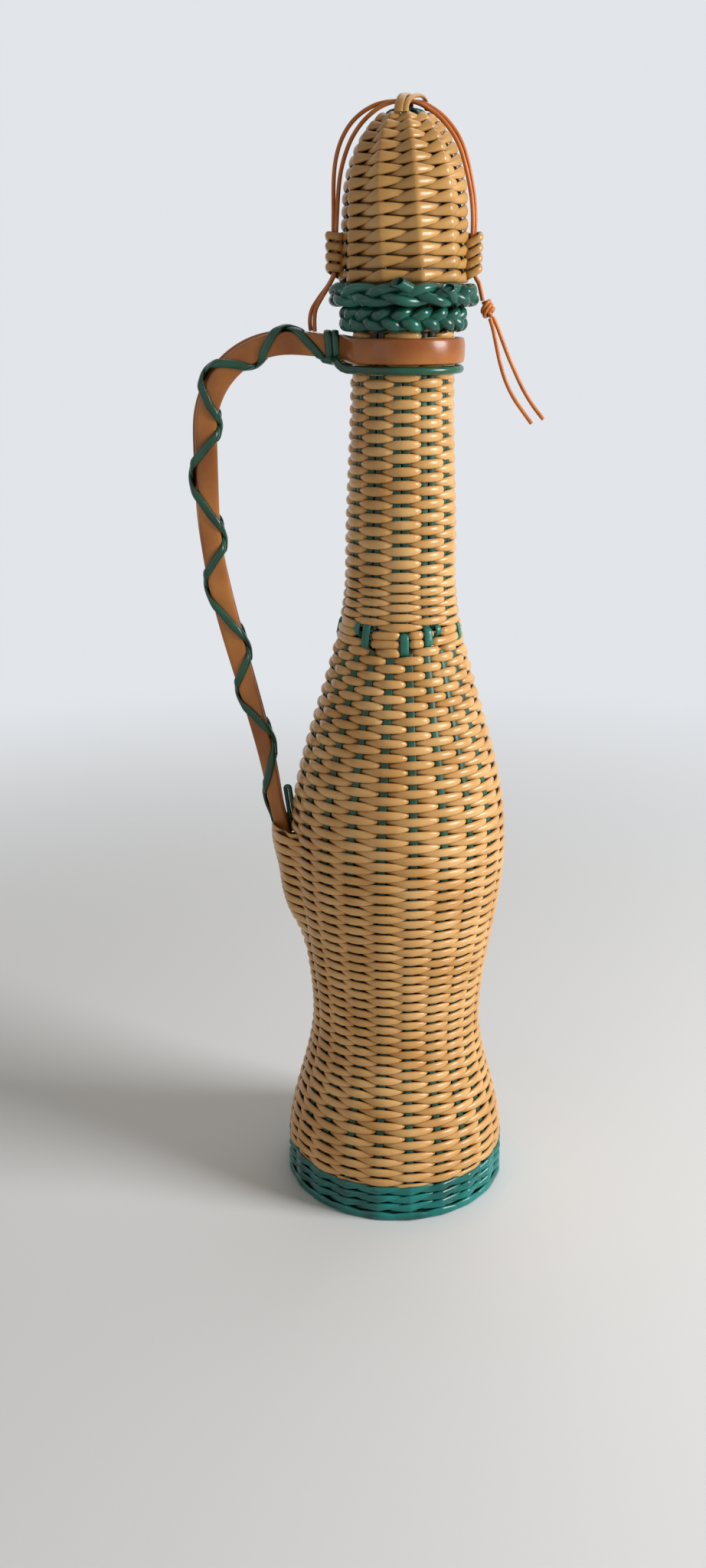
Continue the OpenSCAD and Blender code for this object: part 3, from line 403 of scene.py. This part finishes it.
def weave_route(z0, z1, stakes, first, full, stake_half, k=0):
    """One strand that winds up from z0 to z1 through the stakes, from the k-th step on."""
    step = 2 * math.pi / stakes / STEPS
    z, route = z0, []
    while z < z1:
        angle = first + k * step
        u = (k / STEPS + 1) % 2 - 1
        pitch = table_value(pitches, z)
        r, lift = over_strap(angle, z, jacket_r(z))
        edge = (1 - abs(u)) * 2 * math.pi * r / stakes - stake_half
        half, deep = float_half(u, pitch, full), max(table_value(depths, u), table_value(dive, edge))
        if 231 < z < 243.5:
            plain, near = ease((z - 232.8) / 0.9) * ease((240.6 - z) / 1.4), behind_bare(angle, z, r)
            half, deep = mix(half, 0.53 * pitch, plain), mix(deep, 1.25, plain)
            half, deep = mix(half, 0.7, near), mix(deep, 3.2, near)
        half, deep = mix(half, 0.55 * pitch, lift), mix(deep, 1.0, lift)
        ends = max(0, min(1, (z - band_top + 0.7) / pitch, (weave_top + 1 - z) / pitch))
        half, deep = half * mix(0.6, 1, ends), deep + mix(0.8, 0, ends)
        n = jacket_normal(angle, z)
        route.append((Vector(turned(angle, r, z)) - n * deep, n, half / full_half))
        z += pitch * step / 2 / math.pi
        k += 1
    return route


full_half = 1.75
leaf_outline = profile(1.0, full_half, 10)
turn = 2 * math.pi / 21
neck_turn = 2 * math.pi / 11
body_start = -10 * STEPS
body_route = weave_route(band_top - 1.224, joint_z + 0.6, 21, front + turn / 2, full_half, 1.5, body_start)
joint_step = (turn / 2 + (len(body_route) + body_start) * turn / STEPS) / neck_turn * STEPS
cuts = [len(body_route) * i // 3 for i in range(4)]
for name, i in (("body_weave_low", 0), ("body_weave_middle", 1), ("body_weave_high", 2)):
    made = strand(name, [body_route[cuts[i]:cuts[i + 1] + 1]], leaf_outline, honey)
    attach(made, "bottle")
    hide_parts("body_weave")
neck_route = weave_route(joint_z + 0.6, weave_top + 1, 11, front, 1.8, 3.1, k=joint_step)
neck = strand("neck_weave_strand", [neck_route], leaf_outline, honey)
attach(neck, "bottle")
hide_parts("neck_weave")

# %% [markdown]
# ## Stakes
# The green stakes stand upright under the courses. They show as small dark squares between the floats, and over the
# joint of body and neck a short length of them is bare and stands proud. The lengths under the courses take a darker
# copy of the green, which paints the shade that falls on them there.

# %% Stakes
def stake_route(angle, z0, z1, deep, side=0):
    route = []
    count = max(2, round((z1 - z0) / 4))
    for i in range(count + 1):
        z = mix(z0, z1, i / count)
        n = jacket_normal(angle, z)
        across = Vector((-math.sin(angle), math.cos(angle), 0))
        route.append((Vector(turned(angle, jacket_r(z), z)) - n * deep + across * side, n, 1))
    return route


def bare_route(degrees, low, high, half):
    """A bare length: it comes out from under one course, lies proud, and dives under a course above."""
    a = math.radians(degrees)
    route = []
    for i in range(13):
        z = mix(low - 1.4, high + 1.4, i / 12)
        n = jacket_normal(a, z)
        deep = mix(3.2, 0.75, ease((z - low + 1.2) / 1.6) * ease((high + 1.2 - z) / 1.6))
        route.append((Vector(turned(a, jacket_r(z), z)) - n * deep, n, half / 1.65))
    return route


# The covered stakes take the darker green that paints their shade; the bare lengths take the lit green.
body_stakes = strand("body_stake_tubes", [stake_route(front + (i + 0.5) * turn, 4, joint_z, 2.3) for i in range(21)],
                     profile(0.6, 1.55, 12, 0.7), shaded_green)
neck_stakes = strand("neck_stake_tubes", [stake_route(front + i * neck_turn, joint_z + 8, 353, 2.7, side)
                                          for i in range(11) for side in (1.65, -1.65)],
                     profile(0.65, 1.5, 12, 0.8), shaded_green)
bare_tubes = strand("bare_stake_tubes", [bare_route(*one) for one in bare_stakes], profile(0.75, 1.65, 14, 0.75),
                    stake_green)
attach(bare_tubes, "bottle")
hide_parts("neck_stakes")
for made, node in ((body_stakes, "body_stakes"), (neck_stakes, "neck_stakes")):
    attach(made, "bottle")
    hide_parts(node)

# %% [markdown]
# ## Foot band
# The foot is twined: two strands cross between every two stakes, so a float lies over every stake, and all the floats
# slant the same way. Each row is one closed line that goes round twice.

# %% Foot band
# Distance from the stake in stake spacings, negative on its left: depth in mm, height in half rows, and size
twine_shape = [(-1, 3.9, -0.55, 0.22), (-0.78, 3.5, -0.55, 0.3), (-0.5, 2.7, -0.45, 0.54), (-0.25, 1.9, -0.24, 0.79),
               (-0.05, 1.05, -0.03, 0.97), (0, 0.9, 0, 1), (0.05, 1.0, 0.02, 0.97), (0.25, 1.6, 0.16, 0.77),
               (0.45, 2.1, 0.3, 0.56), (0.63, 2.6, 0.4, 0.37), (0.8, 3.3, 0.2, 0.24), (1, 3.9, -0.55, 0.22)]
band_shape = [(u, 0.8 + (deep - 0.9) * 0.5, rise * 0.9, 0.15 + 0.85 * size) for u, deep, rise, size in twine_shape]
# The lowest row keeps a straight lower edge, so it tapers downwards and dives less
low_shape = [(u, 0.8 + (deep - 0.8) * 0.35, -(1 - size) * 0.62, 0.45 + 0.55 * size)
             for u, deep, rise, size in band_shape]


def twined_row(radius, height, stakes, first, row, half, shape, start=0, turns=2, normal=None):
    """Closed line of one strand: a crest on every second stake, rising to it from the left and tapering off."""
    route = []
    for crest in range(start, stakes * turns + start, 2):
        for u, deep, rise, size in shape[:-1]:
            angle = first + 2 * math.pi * (crest + u) / stakes
            n = normal(angle) if normal else Vector((math.cos(angle), math.sin(angle), 0))
            up = Vector((0, 0, 1)) - n * n.z
            up.normalize()
            route.append((Vector(turned(angle, radius, height)) - n * deep + up * row / 2 * rise, n, half * size))
    return route


band_pitch = band_top / 4
band = strand("foot_band_twining",
              [twined_row(foot_r + 0.05, (i + 0.52) * band_pitch, 21, front + turn / 2, band_pitch, 1,
                          band_shape if i else low_shape) for i in range(4)], profile(1.1, 2.0, 10), teal, closed=True)
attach(band, "bottle")
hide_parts("foot_band")

# %% [markdown]
# ## Plaits
# The neck ends in a collar and the stopper in a rim, both plaited from three dark green tubes. Each strand swings up
# and down once while it goes in and out twice, and the three follow each other by a third of a turn.

# %% Plaits
def plait_routes(radius, crossings, height, swing=2.5, weave=1.7):
    rings = crossings * 40
    routes = []
    for s in range(3):
        route = []
        for i in range(rings):
            a = 2 * math.pi * i / rings
            p = crossings * a + s * 2 * math.pi / 3
            route.append((turned(a, radius + weave * math.sin(2 * p), height + swing * math.sin(p)),
                          (math.cos(a), math.sin(a), 0), 1))
        routes.append(route)
    return routes


plait_outline = profile(1.6, 2.1, 12)
collar_z, rim_z = 350.3, 358.3
collar = strand("collar_plait_tubes", plait_routes(20, 6, collar_z, 2.45), plait_outline, leaf, closed=True, laid=False)
rim = strand("rim_plait_tubes", plait_routes(23.8, 4, rim_z, 2.3), profile(1.6, 1.75, 12), leaf, closed=True,
             laid=False)
for made, body, node in ((collar, "bottle", "collar_plait"), (rim, "stopper", "rim_plait")):
    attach(made, body)
    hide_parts(node)

# %% [markdown]
# ## Handle
# One brown strap goes up one leg, round the neck and down the other leg. The solid has the right route, so a copy of
# it is merged, its facets become quads, and a subdivision rounds its edges.

# %% Strap
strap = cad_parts["strap_handle"].copy()
strap.data = strap.data.copy()
strap.name = "strap"
bpy.context.scene.collection.objects.link(strap)
bpy.ops.object.select_all(action="DESELECT")
strap.hide_set(False)
strap.select_set(True)
bpy.context.view_layer.objects.active = strap
bpy.ops.object.mode_set(mode="EDIT")
bpy.ops.mesh.select_all(action="SELECT")
bpy.ops.mesh.remove_doubles(threshold=0.00001)
bpy.ops.mesh.tris_convert_to_quads(face_threshold=math.radians(40), shape_threshold=math.radians(60))
bpy.ops.object.mode_set(mode="OBJECT")
modifier = strap.modifiers.new("round", "SUBSURF")
modifier.levels = modifier.render_levels = 2
bpy.ops.object.modifier_apply(modifier="round")
bpy.ops.object.shade_smooth()
strap.data.materials.clear()
strap.data.materials.append(caramel)
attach(strap, "bottle")
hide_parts("strap_handle")

# %% [markdown]
# ## Cords on the handle
# Two flat green cords wind down the handle in opposite directions and cross on its edges. The middle line of the
# handle is worked out here with the sizes of the solids, and the cords keep to the outside of the strap.

# %% Handle line
strap_w, strap_t, strap_end_w, gap = 9, 3.1, 5.2, 0.2
reach, corner_r, lean_z = 72.5, 31, 284
handle_z = 335 + strap_w / 2 + 2.4
corner_x, corner_z = reach - corner_r, handle_z - corner_r
start_x, start_z, tuck_end = neck_r + 4.8, handle_z - 1.1, tuck_z - 34


def leg_x(z):
    lean = mix(reach, belly_r + 4.9, ease((lean_z - z) / (lean_z - tuck_z + 6)))
    return lean - 4.7 * ease((tuck_z + 12 - z) / 30) - max(0, jacket_r(tuck_z - 18) - jacket_r(min(z, tuck_z - 18)))


line = [(-mix(start_x, corner_x, t / 4), mix(start_z, handle_z, ease(t / 4))) for t in range(4)]
line += [(-corner_x - corner_r * math.sin(math.radians(a)), corner_z + corner_r * math.cos(math.radians(a)))
         for a in range(0, 90, 9)]
count = round((corner_z - tuck_end) / 6)
line += [(-leg_x(mix(corner_z, tuck_end, i / count)), mix(corner_z, tuck_end, i / count)) for i in range(count + 1)]
lengths = [0]
for a, b in zip(line, line[1:]):
    lengths.append(lengths[-1] + math.dist(a, b))
total = lengths[-1]


def handle_at(s):
    i = max(0, min(len(line) - 2, sum(1 for x in lengths if x <= s) - 1))
    t = min(1, max(0, (s - lengths[i]) / (lengths[i + 1] - lengths[i])))
    return Vector((mix(line[i][0], line[i + 1][0], t), 0, mix(line[i][1], line[i + 1][1], t)))


def handle_out(s):
    d = (handle_at(max(3, s + 1.5)) - handle_at(min(total - 3, s - 1.5))).normalized()
    return Vector((d.z, 0, -d.x))


def strap_w_at(s):
    return mix(strap_w - 0.8, strap_end_w, ease((s / total - 0.45) * 2))


def leg_shift(s):
    return 1.4 * (ease(s / 45) - ease((s - 70) / 70))


def squared(a, half_x, half_y):
    """Point of a rounded square in the direction of an angle."""
    k = (abs(math.cos(a)) ** 4 + abs(math.sin(a)) ** 4) ** 0.25
    return half_x * math.cos(a) / k, half_y * math.sin(a) / k

# %% Laces, binding and side loops
lace_t, lace_w = 1.7, 3.1
# Way along the handle at every half turn of a lace, from half a turn before its first crossing on the outer edge
lace_ways = [3, 18, 32.3, 47.7, 64.1, 83, 106.3, 124, 149.8, 167, 188.4, 209.9]
lace_steps = [p.x for p in smooth([(way, 0, 0) for way in lace_ways], 24)]


def lace_spot(s, a, lift):
    """Place on the rounded square round the strap, with the direction that faces away from the strap there."""
    out = handle_out(s)
    half_x, half_y = strap_w_at(s) / 2 + leg_shift(s) / 2 + 0.3, strap_t + gap + 0.45
    fx, fy = squared(a, half_x, half_y)
    face = Vector((fx ** 3 / half_x ** 4, fy ** 3 / half_y ** 4, 0)).normalized()
    p = handle_at(s) + out * (leg_shift(s) / 2 + fx + math.copysign(lift, fx))
    return (p.x, fy, p.z), (out.x * face.x, face.y, out.z * face.x), 1


def lace_route(hand, lift):
    """A lace winds round the handle, and the upper one then runs down its outer edge and under the weave."""
    route = []
    for i, s in enumerate(lace_steps):
        a = math.pi * (i / 24 - 1)
        over = lift * lace_t * 0.5 * math.cos(a) ** 6 * ease(i / 12)
        route.append(lace_spot(s, a * hand, over))
    if lift:
        while s < total - 36:
            s += 1
            route.append(lace_spot(s, 0, lace_t * 0.5 * (1 - ease((s - 212) / 8))))
    return route


lace_outline = profile(lace_t / 2, lace_w / 2, 10)
for name, hand, lift, node in (("lace_lower", 1, 0, "handle_lace_under"), ("lace_upper", -1, 1, "handle_lace_over")):
    made = strand(name, [lace_route(hand, lift)], lace_outline, moss)
    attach(made, "bottle")
    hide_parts(node)


def coil_route(middle, axis, side, turns, pitch, half_a, half_b, slant=0, per_turn=32):
    """A coil on a rounded square. With a slant its outer side lies further along the axis."""
    axis, side = Vector(axis), Vector(side)
    third = axis.cross(side)
    route = []
    for i in range(turns * per_turn + 1):
        a = math.pi + 2 * math.pi * i / per_turn
        fa, fb = squared(a, half_a, half_b)
        p = Vector(middle) + axis * (pitch * (i / per_turn - turns / 2) + slant * fa) + side * fa + third * fb
        route.append((p, side * math.cos(a) + third * math.sin(a), 1))
    return route


binding_d = 1.25
binding_off = 0.3 + binding_d / 2
binding = strand("strap_binding_cord",
                 [coil_route((-(start_x + 2.1), 0, start_z + 0.1), (-1, 0, 0), (0, 0, 1), 2, 2.6,
                             strap_w_at(0) / 2 + binding_off, strap_t + gap + binding_off)],
                 profile(binding_d / 2, 1.42, 10), moss)
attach(binding, "bottle")
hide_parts("strap_binding")
ring_route = []
for i in range(85):
    a = mix(11, 349, i / 84)
    side_a = min(a, 360 - a)
    out, rise = 4.1 * (1 - ease((side_a - 22) / 20)), 2.6 * (1 - ease((side_a - 16) / 16))
    a = math.radians(180 + a)
    ring_route.append((turned(a, neck_r + 1.6 + out, 333.0 + rise), (0, 0, 1), 1))
for side, index in ((-1, 0), (1, len(ring_route))):
    ring_route.insert(index, ((-26.4, side * 3.6, 335.9), (0, 0, 1), 1))
    ring_route.insert(index if side < 0 else index + 1, ((-28.8, side * 2.2, 336.2), (0, 0, 1), 0.9))
ring_cord = strand("ring_cord_tube", [ring_route], profile(1.45, 1.45, 14), moss, laid=False)
tab_route = [((-27, 0, 336.0), (0, 0, 1), 1), ((-24.5, 0, 335.3), (0, 0, 1), 1), ((-21.2, 0, 334.3), (0, 0, 1), 0.9)]
tab = strand("strap_tab", [tab_route], profile(0.75, 3.2, 12), caramel, laid=False)
for made in (ring_cord, tab):
    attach(made, "bottle")
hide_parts("neck_ring_cord")
cap_z = 362.825
loop_z = cap_z + 9.1
for name, side, node in (("side_coil_left", -1, "side_loop_left"), ("side_coil_right", 1, "side_loop_right")):
    made = strand(name, [coil_route((side * 24.6, 0, loop_z), (0, 0, 1), (side, 0, 0), 4, 3.5, 2.5, 2.9, 0.34)],
                  profile(0.95, 1.4, 12), straw)
    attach(made, "stopper")
    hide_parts(node)

# %% [markdown]
# ## Stopper cap
# The cap is twined as the foot is, over ten stakes that lean a little, in wide rows. The rows follow the skirt and
# then the dome, so the path from rim to crown is measured first and divided evenly.

# %% Cap outline
cap_r, cap_low_r, skirt_h, dome_h, crown_r = 22.1, 23.3, 25, 32.5, 8.4
dome_z = cap_z + skirt_h


def cap_point(t):
    if t < 0:
        return mix(cap_r, cap_low_r, -t), mix(dome_z, cap_z, -t)
    return cap_r * math.cos(t), dome_z + dome_h * math.sin(t)


cap_line = [cap_point(-1 + i / 40) for i in range(40)] + [cap_point(math.pi / 2 * i / 120) for i in range(121)]
cap_s = [0]
for a, b in zip(cap_line, cap_line[1:]):
    cap_s.append(cap_s[-1] + math.dist(a, b))


def cap_at(s):
    i = max(0, min(len(cap_line) - 2, sum(1 for x in cap_s if x <= s) - 1))
    t = (s - cap_s[i]) / (cap_s[i + 1] - cap_s[i])
    (r0, z0), (r1, z1) = cap_line[i], cap_line[i + 1]
    d = Vector((z1 - z0, 0, r0 - r1)).normalized()
    return mix(r0, r1, t), mix(z0, z1, t), d


def cap_lean(z):
    """Angle of the first stake at a height: the stakes lean to the left going up."""
    return front + math.radians(14.3 - 0.2 * (z - 375))

# %% Cap twining, stakes and crown
crown_s = next(s for s, (r, z) in zip(cap_s, cap_line) if r < crown_r and z > dome_z)
rows = round(crown_s / 4.3)
row_h = crown_s / rows
row_routes = []
for i in range(rows):
    r, z, d = cap_at((i + (0.5 if i else 0.43)) * row_h)
    out = lambda a, d=d: Vector((math.cos(a) * d.x, math.sin(a) * d.x, d.z))
    size = row_h / 4.2 * mix(1.05, 1, ease((r - 8) / 8))
    flat = mix(0.4, 1, ease((r - 7) / 12))
    shape = [(u, 0.9 + (deep - 0.9) * flat, rise, mix(0.6, 1, flat) * part + 0.4 * (1 - flat))
             for u, deep, rise, part in twine_shape]
    for phase in (0, 1):
        row_routes.append(twined_row(r, z, 10, cap_lean(z), row_h, size, shape, phase, 1, out))
cap = strand("cap_twining", row_routes, profile(1.15, 2.15, 12), straw, closed=True)
# A dark sheet a little inside the cap paints the shade that shows through the gaps between the rows.
shade_sheet_points = [((cap_low_r - 3.2) * MM, 0, (cap_z - 2.2) * MM)]
shade_sheet_points += [((r - 3.2) * MM, 0, (z - 3.6 * ease((z - dome_z) / dome_h)) * MM) for r, z in cap_line[::8] if r > 6]
shade_sheet_line = bpy.data.meshes.new("cap_shade_sheet")
shade_sheet_line.from_pydata(shade_sheet_points, [(i, i + 1) for i in range(len(shade_sheet_points) - 1)], [])
shade_sheet = bpy.data.objects.new("cap_shade_sheet", shade_sheet_line)
bpy.context.scene.collection.objects.link(shade_sheet)
modifier = shade_sheet.modifiers.new("turn", "SCREW")
modifier.steps = modifier.render_steps = 48
modifier.use_merge_vertices = True
bpy.ops.object.select_all(action="DESELECT")
shade_sheet.select_set(True)
bpy.context.view_layer.objects.active = shade_sheet
bpy.ops.object.modifier_apply(modifier="turn")
bpy.ops.object.shade_smooth()
shade_sheet.data.materials.append(shaded)
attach(shade_sheet, "stopper")
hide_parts("cap_weave")
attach(cap, "stopper")
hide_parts("cap_weave")
stake_routes, crown_routes = [], []
for k in range(10):
    route = []
    for i in range(25):
        r, z, d = cap_at(mix(0.5, crown_s, i / 24))
        a = cap_lean(z) + k * math.pi / 5
        n = Vector((math.cos(a) * d.x, math.sin(a) * d.x, d.z))
        route.append((Vector(turned(a, r, z)) - n * 2.7, n, mix(1, 0.7, i / 24)))
    stake_routes.append(route)
    route = []
    for i in range(9):
        r, z, d = cap_at(mix(crown_s - 2, cap_s[-1] - 1.8, i / 8))
        a = cap_lean(z) + k * math.pi / 5
        n = Vector((math.cos(a) * d.x, math.sin(a) * d.x, d.z))
        route.append((Vector(turned(a, r, z)) - n * mix(2.4, 1.1, ease(i / 4)), n, mix(0.9, 0.55, i / 8)))
    crown_routes.append(route)
cap_stakes = strand("cap_stake_tubes", stake_routes, profile(0.75, 1.2, 8), leaf)
crown = strand("crown_tubes", crown_routes, profile(1.0, 1.5, 10), leaf)
for made, node in ((cap_stakes, "cap_stakes"), (crown, "cap_crown")):
    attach(made, "stopper")
    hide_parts(node)

# %% [markdown]
# ## Knot
# The two cords are tied in one compact knot beside the rim. The wraps lie aslant round both cords and their ends dive
# in between them, so the knot is drawn as two straight cords with a cord wound round them.

# %% Knot
knot_middle = Vector((30.15, 0, 353.5))
knot_along = Vector((math.sin(math.radians(150)), 0, math.cos(math.radians(150))))
knot_side = Vector((knot_along.z, 0, -knot_along.x))


def knot_wraps():
    """Cord wound aslant round the two middle cords."""
    route = []
    for i in range(91):
        t = i / 90
        a = 2 * math.pi * 2.7 * t + 0.6
        r = 1.95 * mix(0.3, 1, ease(min(t, 1 - t) / 0.12))
        out = knot_side * math.cos(a) + Vector((0, 1, 0)) * math.sin(a)
        route.append((knot_middle + knot_along * ((t - 0.5) * 3.9 + 0.95 * math.cos(a - 0.8)) + out * r, out, 1))
    return route


knot_core = [[(knot_middle + knot_along * mix(-3.1, 3.1, i / 8) + Vector((0, side * 0.78, 0)), (0, 1, 0), 1)
              for i in range(9)] for side in (1, -1)]
knot = strand("cord_knot", knot_core + [knot_wraps()], round_cord, orange, laid=False)
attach(knot, "stopper")
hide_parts("tie_knot")

# %% [markdown]
# ## Loops on the crown
# Two short flat strands hold the orange cord down on the crown: a wide one that comes up from the front, and a narrow
# one that runs up to the right beside it.

# %% Crown loops
wide_loop = [(-2.4, -9.2, 417.2), (-2.2, -8.3, 419.2), (-1.7, -6.8, 421.2), (-1, -4.6, 422.8), (-0.2, -2.2, 423.4),
             (0.5, 0, 423.5), (1, 2.6, 423.2), (1.2, 5.2, 421.9), (1.2, 7.4, 419.7), (1, 8.7, 417.6)]
narrow_loop = [(0, -9.3, 417.2), (0.2, -8.4, 419.3), (1, -6.9, 421.1), (2.4, -4.8, 422.5), (4, -2.5, 423.1),
               (5.5, -0.2, 423.2), (6.6, 2.2, 422.5), (7.2, 4.2, 421), (7.4, 5.5, 419.4)]


def loop_route(points):
    middle = Vector((0, 0, 412))
    return [(p, Vector(p) - middle, 1) for p in smooth(points, 4)]


wide = strand("crown_loop_wide", [loop_route(wide_loop)], profile(0.6, 1.6, 14, 0.8), straw)
narrow = strand("crown_loop_narrow", [loop_route(narrow_loop)], profile(0.6, 1.05, 12), straw)
for made in (wide, narrow):
    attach(made, "stopper")
    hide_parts("top_loops")

# %% [markdown]
# ## Cut tube ends
# The stakes of the cap end in open tubes that lean out between rim plait and cap. Each is a short length of tube with
# no caps, and Solidify gives it its wall.

# %% Cut tube ends
# Angle round the stopper, height and distance of each opening, and the way that its tube runs out: along the rim, and up
tube_tips = [(200, 361.6, 25, -0.3, 0.7), (213, 361.2, 25.6, -0.6, 0.6), (265, 362.6, 26.8, -0.9, 0.5),
             (304.6, 360.8, 27, -0.7, 0.5), (329, 360.6, 26.6, 0.5, 0.6)]
tube_tips += [(30 + 32 * i, 361.3, 26.3, -0.8, 0.5) for i in range(5)]
tube_routes, cuts = [], []
for degrees, z, r, aside, upward in tube_tips:
    a = math.radians(degrees)
    out, along = Vector((math.cos(a), math.sin(a), 0)), Vector((-math.sin(a), math.cos(a), 0))
    lean = (out * 0.5 + along * aside + Vector((0, 0, upward))).normalized()
    tip = out * r + Vector((0, 0, z))
    tube_routes.append([(tip - lean * t, out, 1) for t in (7.5, 6, 4.5, 3, 1.5, 0)])
    cuts.append((tip * MM, lean, (out * 0.6 + Vector((0, 0, 0.7)) + lean * 0.4).normalized()))
tube_ends = strand("cut_tube_ends", tube_routes, profile(1.75, 1.75, 18), leaf, hollow=True, laid=False)
for i, corner in enumerate(tube_ends.data.vertices):
    tip, lean, facing = cuts[i // 108]
    from_tip = corner.co - tip
    share = max(0, 1 + from_tip.dot(lean) / (6 * MM))
    corner.co -= lean * min(1, share) * from_tip.dot(facing) / lean.dot(facing) * (share > 0.98)
modifier = tube_ends.modifiers.new("wall", "SOLIDIFY")
modifier.thickness = 0.35 * MM
modifier.offset = -1
bpy.ops.object.modifier_apply(modifier="wall")
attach(tube_ends, "stopper")
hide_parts("rim_tube_ends")

# %% [markdown]
# ## Mat under the bottle
# The bottle stands on a round woven mat inside the foot band. Strands go round and round, over and under straight
# green spokes, so each row is one closed line that waves up and down between the spokes.

# %% Mat
mat_rows = [43.3 - 1.9 - 3.75 * i for i in range(11)]
mat_routes, spoke_routes = [], []
for row, r in enumerate(mat_rows):
    count = 21 * 8
    route = []
    for k in range(count):
        a = front + 2 * math.pi * k / count
        wave = math.cos(math.pi * (k / 8 + row)) * (0.5 if row % 2 else 0.5)
        route.append((turned(a, r, 1.9 + 0.45 * wave), (0, 0, -1), 1))
    mat_routes.append(route)
for i in range(21):
    a = front + 2 * math.pi * (i + 0.5) / 21
    spoke_routes.append([(turned(a, r, 1.6), (0, 0, -1), 1) for r in (9, 20, 32, 42)])
mat_rounds = strand("mat_rounds", mat_routes, profile(1.3, 1.85, 8), teal, closed=True)
mat_spokes = strand("mat_spokes", spoke_routes, profile(0.9, 1.2, 8), leaf)
for made in (mat_rounds, mat_spokes):
    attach(made, "bottle")
    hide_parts("base_mat")

# %% [markdown]
# ## Solids that stay
# The tie at the handle's foot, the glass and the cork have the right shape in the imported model, so they only get their
# finish.

# %% Finish of the solids
glass = bpy.data.materials.new("green glass")
glass.use_nodes = True
glass_shader = glass.node_tree.nodes["Principled BSDF"]
glass_shader.inputs["Base Color"].default_value = colour("#5f8f6c")
glass_shader.inputs["Roughness"].default_value = 0.05
glass_shader.inputs["Transmission Weight"].default_value = 1
glass_shader.inputs["IOR"].default_value = 1.5
bark = tube_plastic("cork bark", "#a97c4c", "#d3ab78", roughness=0.8, grain_mm=2.5, bump=0.5, coat=0)
for node, material in (("foot_tie", moss), ("glass_bottle", glass), ("cork", bark)):
    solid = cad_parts[node]
    solid.data.materials.clear()
    solid.data.materials.append(material)

# %% [markdown]
# ## Floor and light
# A pale floor plane fades, away from the bottle, into the same pale colour that the world shows behind it. The main
# light comes from the right, as in the photograph, and a weaker one fills the left side.

# %% Stage
bpy.ops.object.select_all(action="DESELECT")
bpy.ops.mesh.primitive_plane_add(size=6, location=(0, 0, 0))
floor = bpy.context.object
floor.name = "floor"
paper = bpy.data.materials.new("pale paper")
paper.use_nodes = True
paper.node_tree.nodes.clear()
spot = add_node(paper, "ShaderNodeTexCoord")
distance = add_node(paper, "ShaderNodeVectorMath", {"operation": "LENGTH"}, {0: spot.outputs["Object"]})
far = add_node(paper, "ShaderNodeMapRange", {"interpolation_type": "SMOOTHSTEP", "From Min": 0.22, "From Max": 0.85},
               {"Value": distance.outputs["Value"]})
rays = add_node(paper, "ShaderNodeLightPath")
seen = add_node(paper, "ShaderNodeMath", {"operation": "MAXIMUM"},
                {0: rays.outputs["Is Camera Ray"], 1: rays.outputs["Is Glossy Ray"]})
seen = add_node(paper, "ShaderNodeMath", {"operation": "MAXIMUM"},
                {0: seen.outputs["Value"], 1: rays.outputs["Is Transmission Ray"]})
share = add_node(paper, "ShaderNodeMath", {"operation": "MULTIPLY"},
                 {0: far.outputs["Result"], 1: seen.outputs["Value"]})
matt = add_node(paper, "ShaderNodeBsdfPrincipled", {"Base Color": colour("#e4e6e8"), "Roughness": 0.9})
sweep = add_node(paper, "ShaderNodeEmission", {"Color": colour("#e2e5e9"), "Strength": 1.0})
blend = add_node(paper, "ShaderNodeMixShader", None,
                 {0: share.outputs["Value"], 1: matt.outputs["BSDF"], 2: sweep.outputs["Emission"]})
add_node(paper, "ShaderNodeOutputMaterial", None, {"Surface": blend.outputs["Shader"]})
floor.data.materials.append(paper)

world = bpy.data.worlds.new("studio")
bpy.context.scene.world = world
world.use_nodes = True
world.node_tree.nodes.clear()
rays = add_node(world, "ShaderNodeLightPath")
seen = add_node(world, "ShaderNodeMath", {"operation": "MAXIMUM"},
                {0: rays.outputs["Is Camera Ray"], 1: rays.outputs["Is Glossy Ray"]})
seen = add_node(world, "ShaderNodeMath", {"operation": "MAXIMUM"},
                {0: seen.outputs["Value"], 1: rays.outputs["Is Transmission Ray"]})
soft = add_node(world, "ShaderNodeBackground", {"Color": colour("#f4ebdd"), "Strength": 0.25})
plain = add_node(world, "ShaderNodeBackground", {"Color": colour("#e2e5e9"), "Strength": 1.0})
blend = add_node(world, "ShaderNodeMixShader", None,
                 {0: seen.outputs["Value"], 1: soft.outputs["Background"], 2: plain.outputs["Background"]})
add_node(world, "ShaderNodeOutputWorld", None, {"Surface": blend.outputs["Shader"]})


def lamp(name, place, aim, size, watts):
    data = bpy.data.lights.new(name, "AREA")
    data.size = size
    data.energy = watts
    made = bpy.data.objects.new(name, data)
    made.location = place
    made.rotation_euler = (Vector(aim) - Vector(place)).to_track_quat("-Z", "Y").to_euler()
    bpy.context.scene.collection.objects.link(made)


lamp("key", (1.1, -0.32, 0.62), (0, 0, 0.2), 0.5, 17)
lamp("fill", (-0.9, -1.1, 0.5), (0, 0, 0.2), 0.9, 1.2)
lamp("top", (0.2, 0.5, 1.3), (0, 0, 0.25), 0.8, 3)
bpy.context.scene.view_settings.view_transform = "Standard"
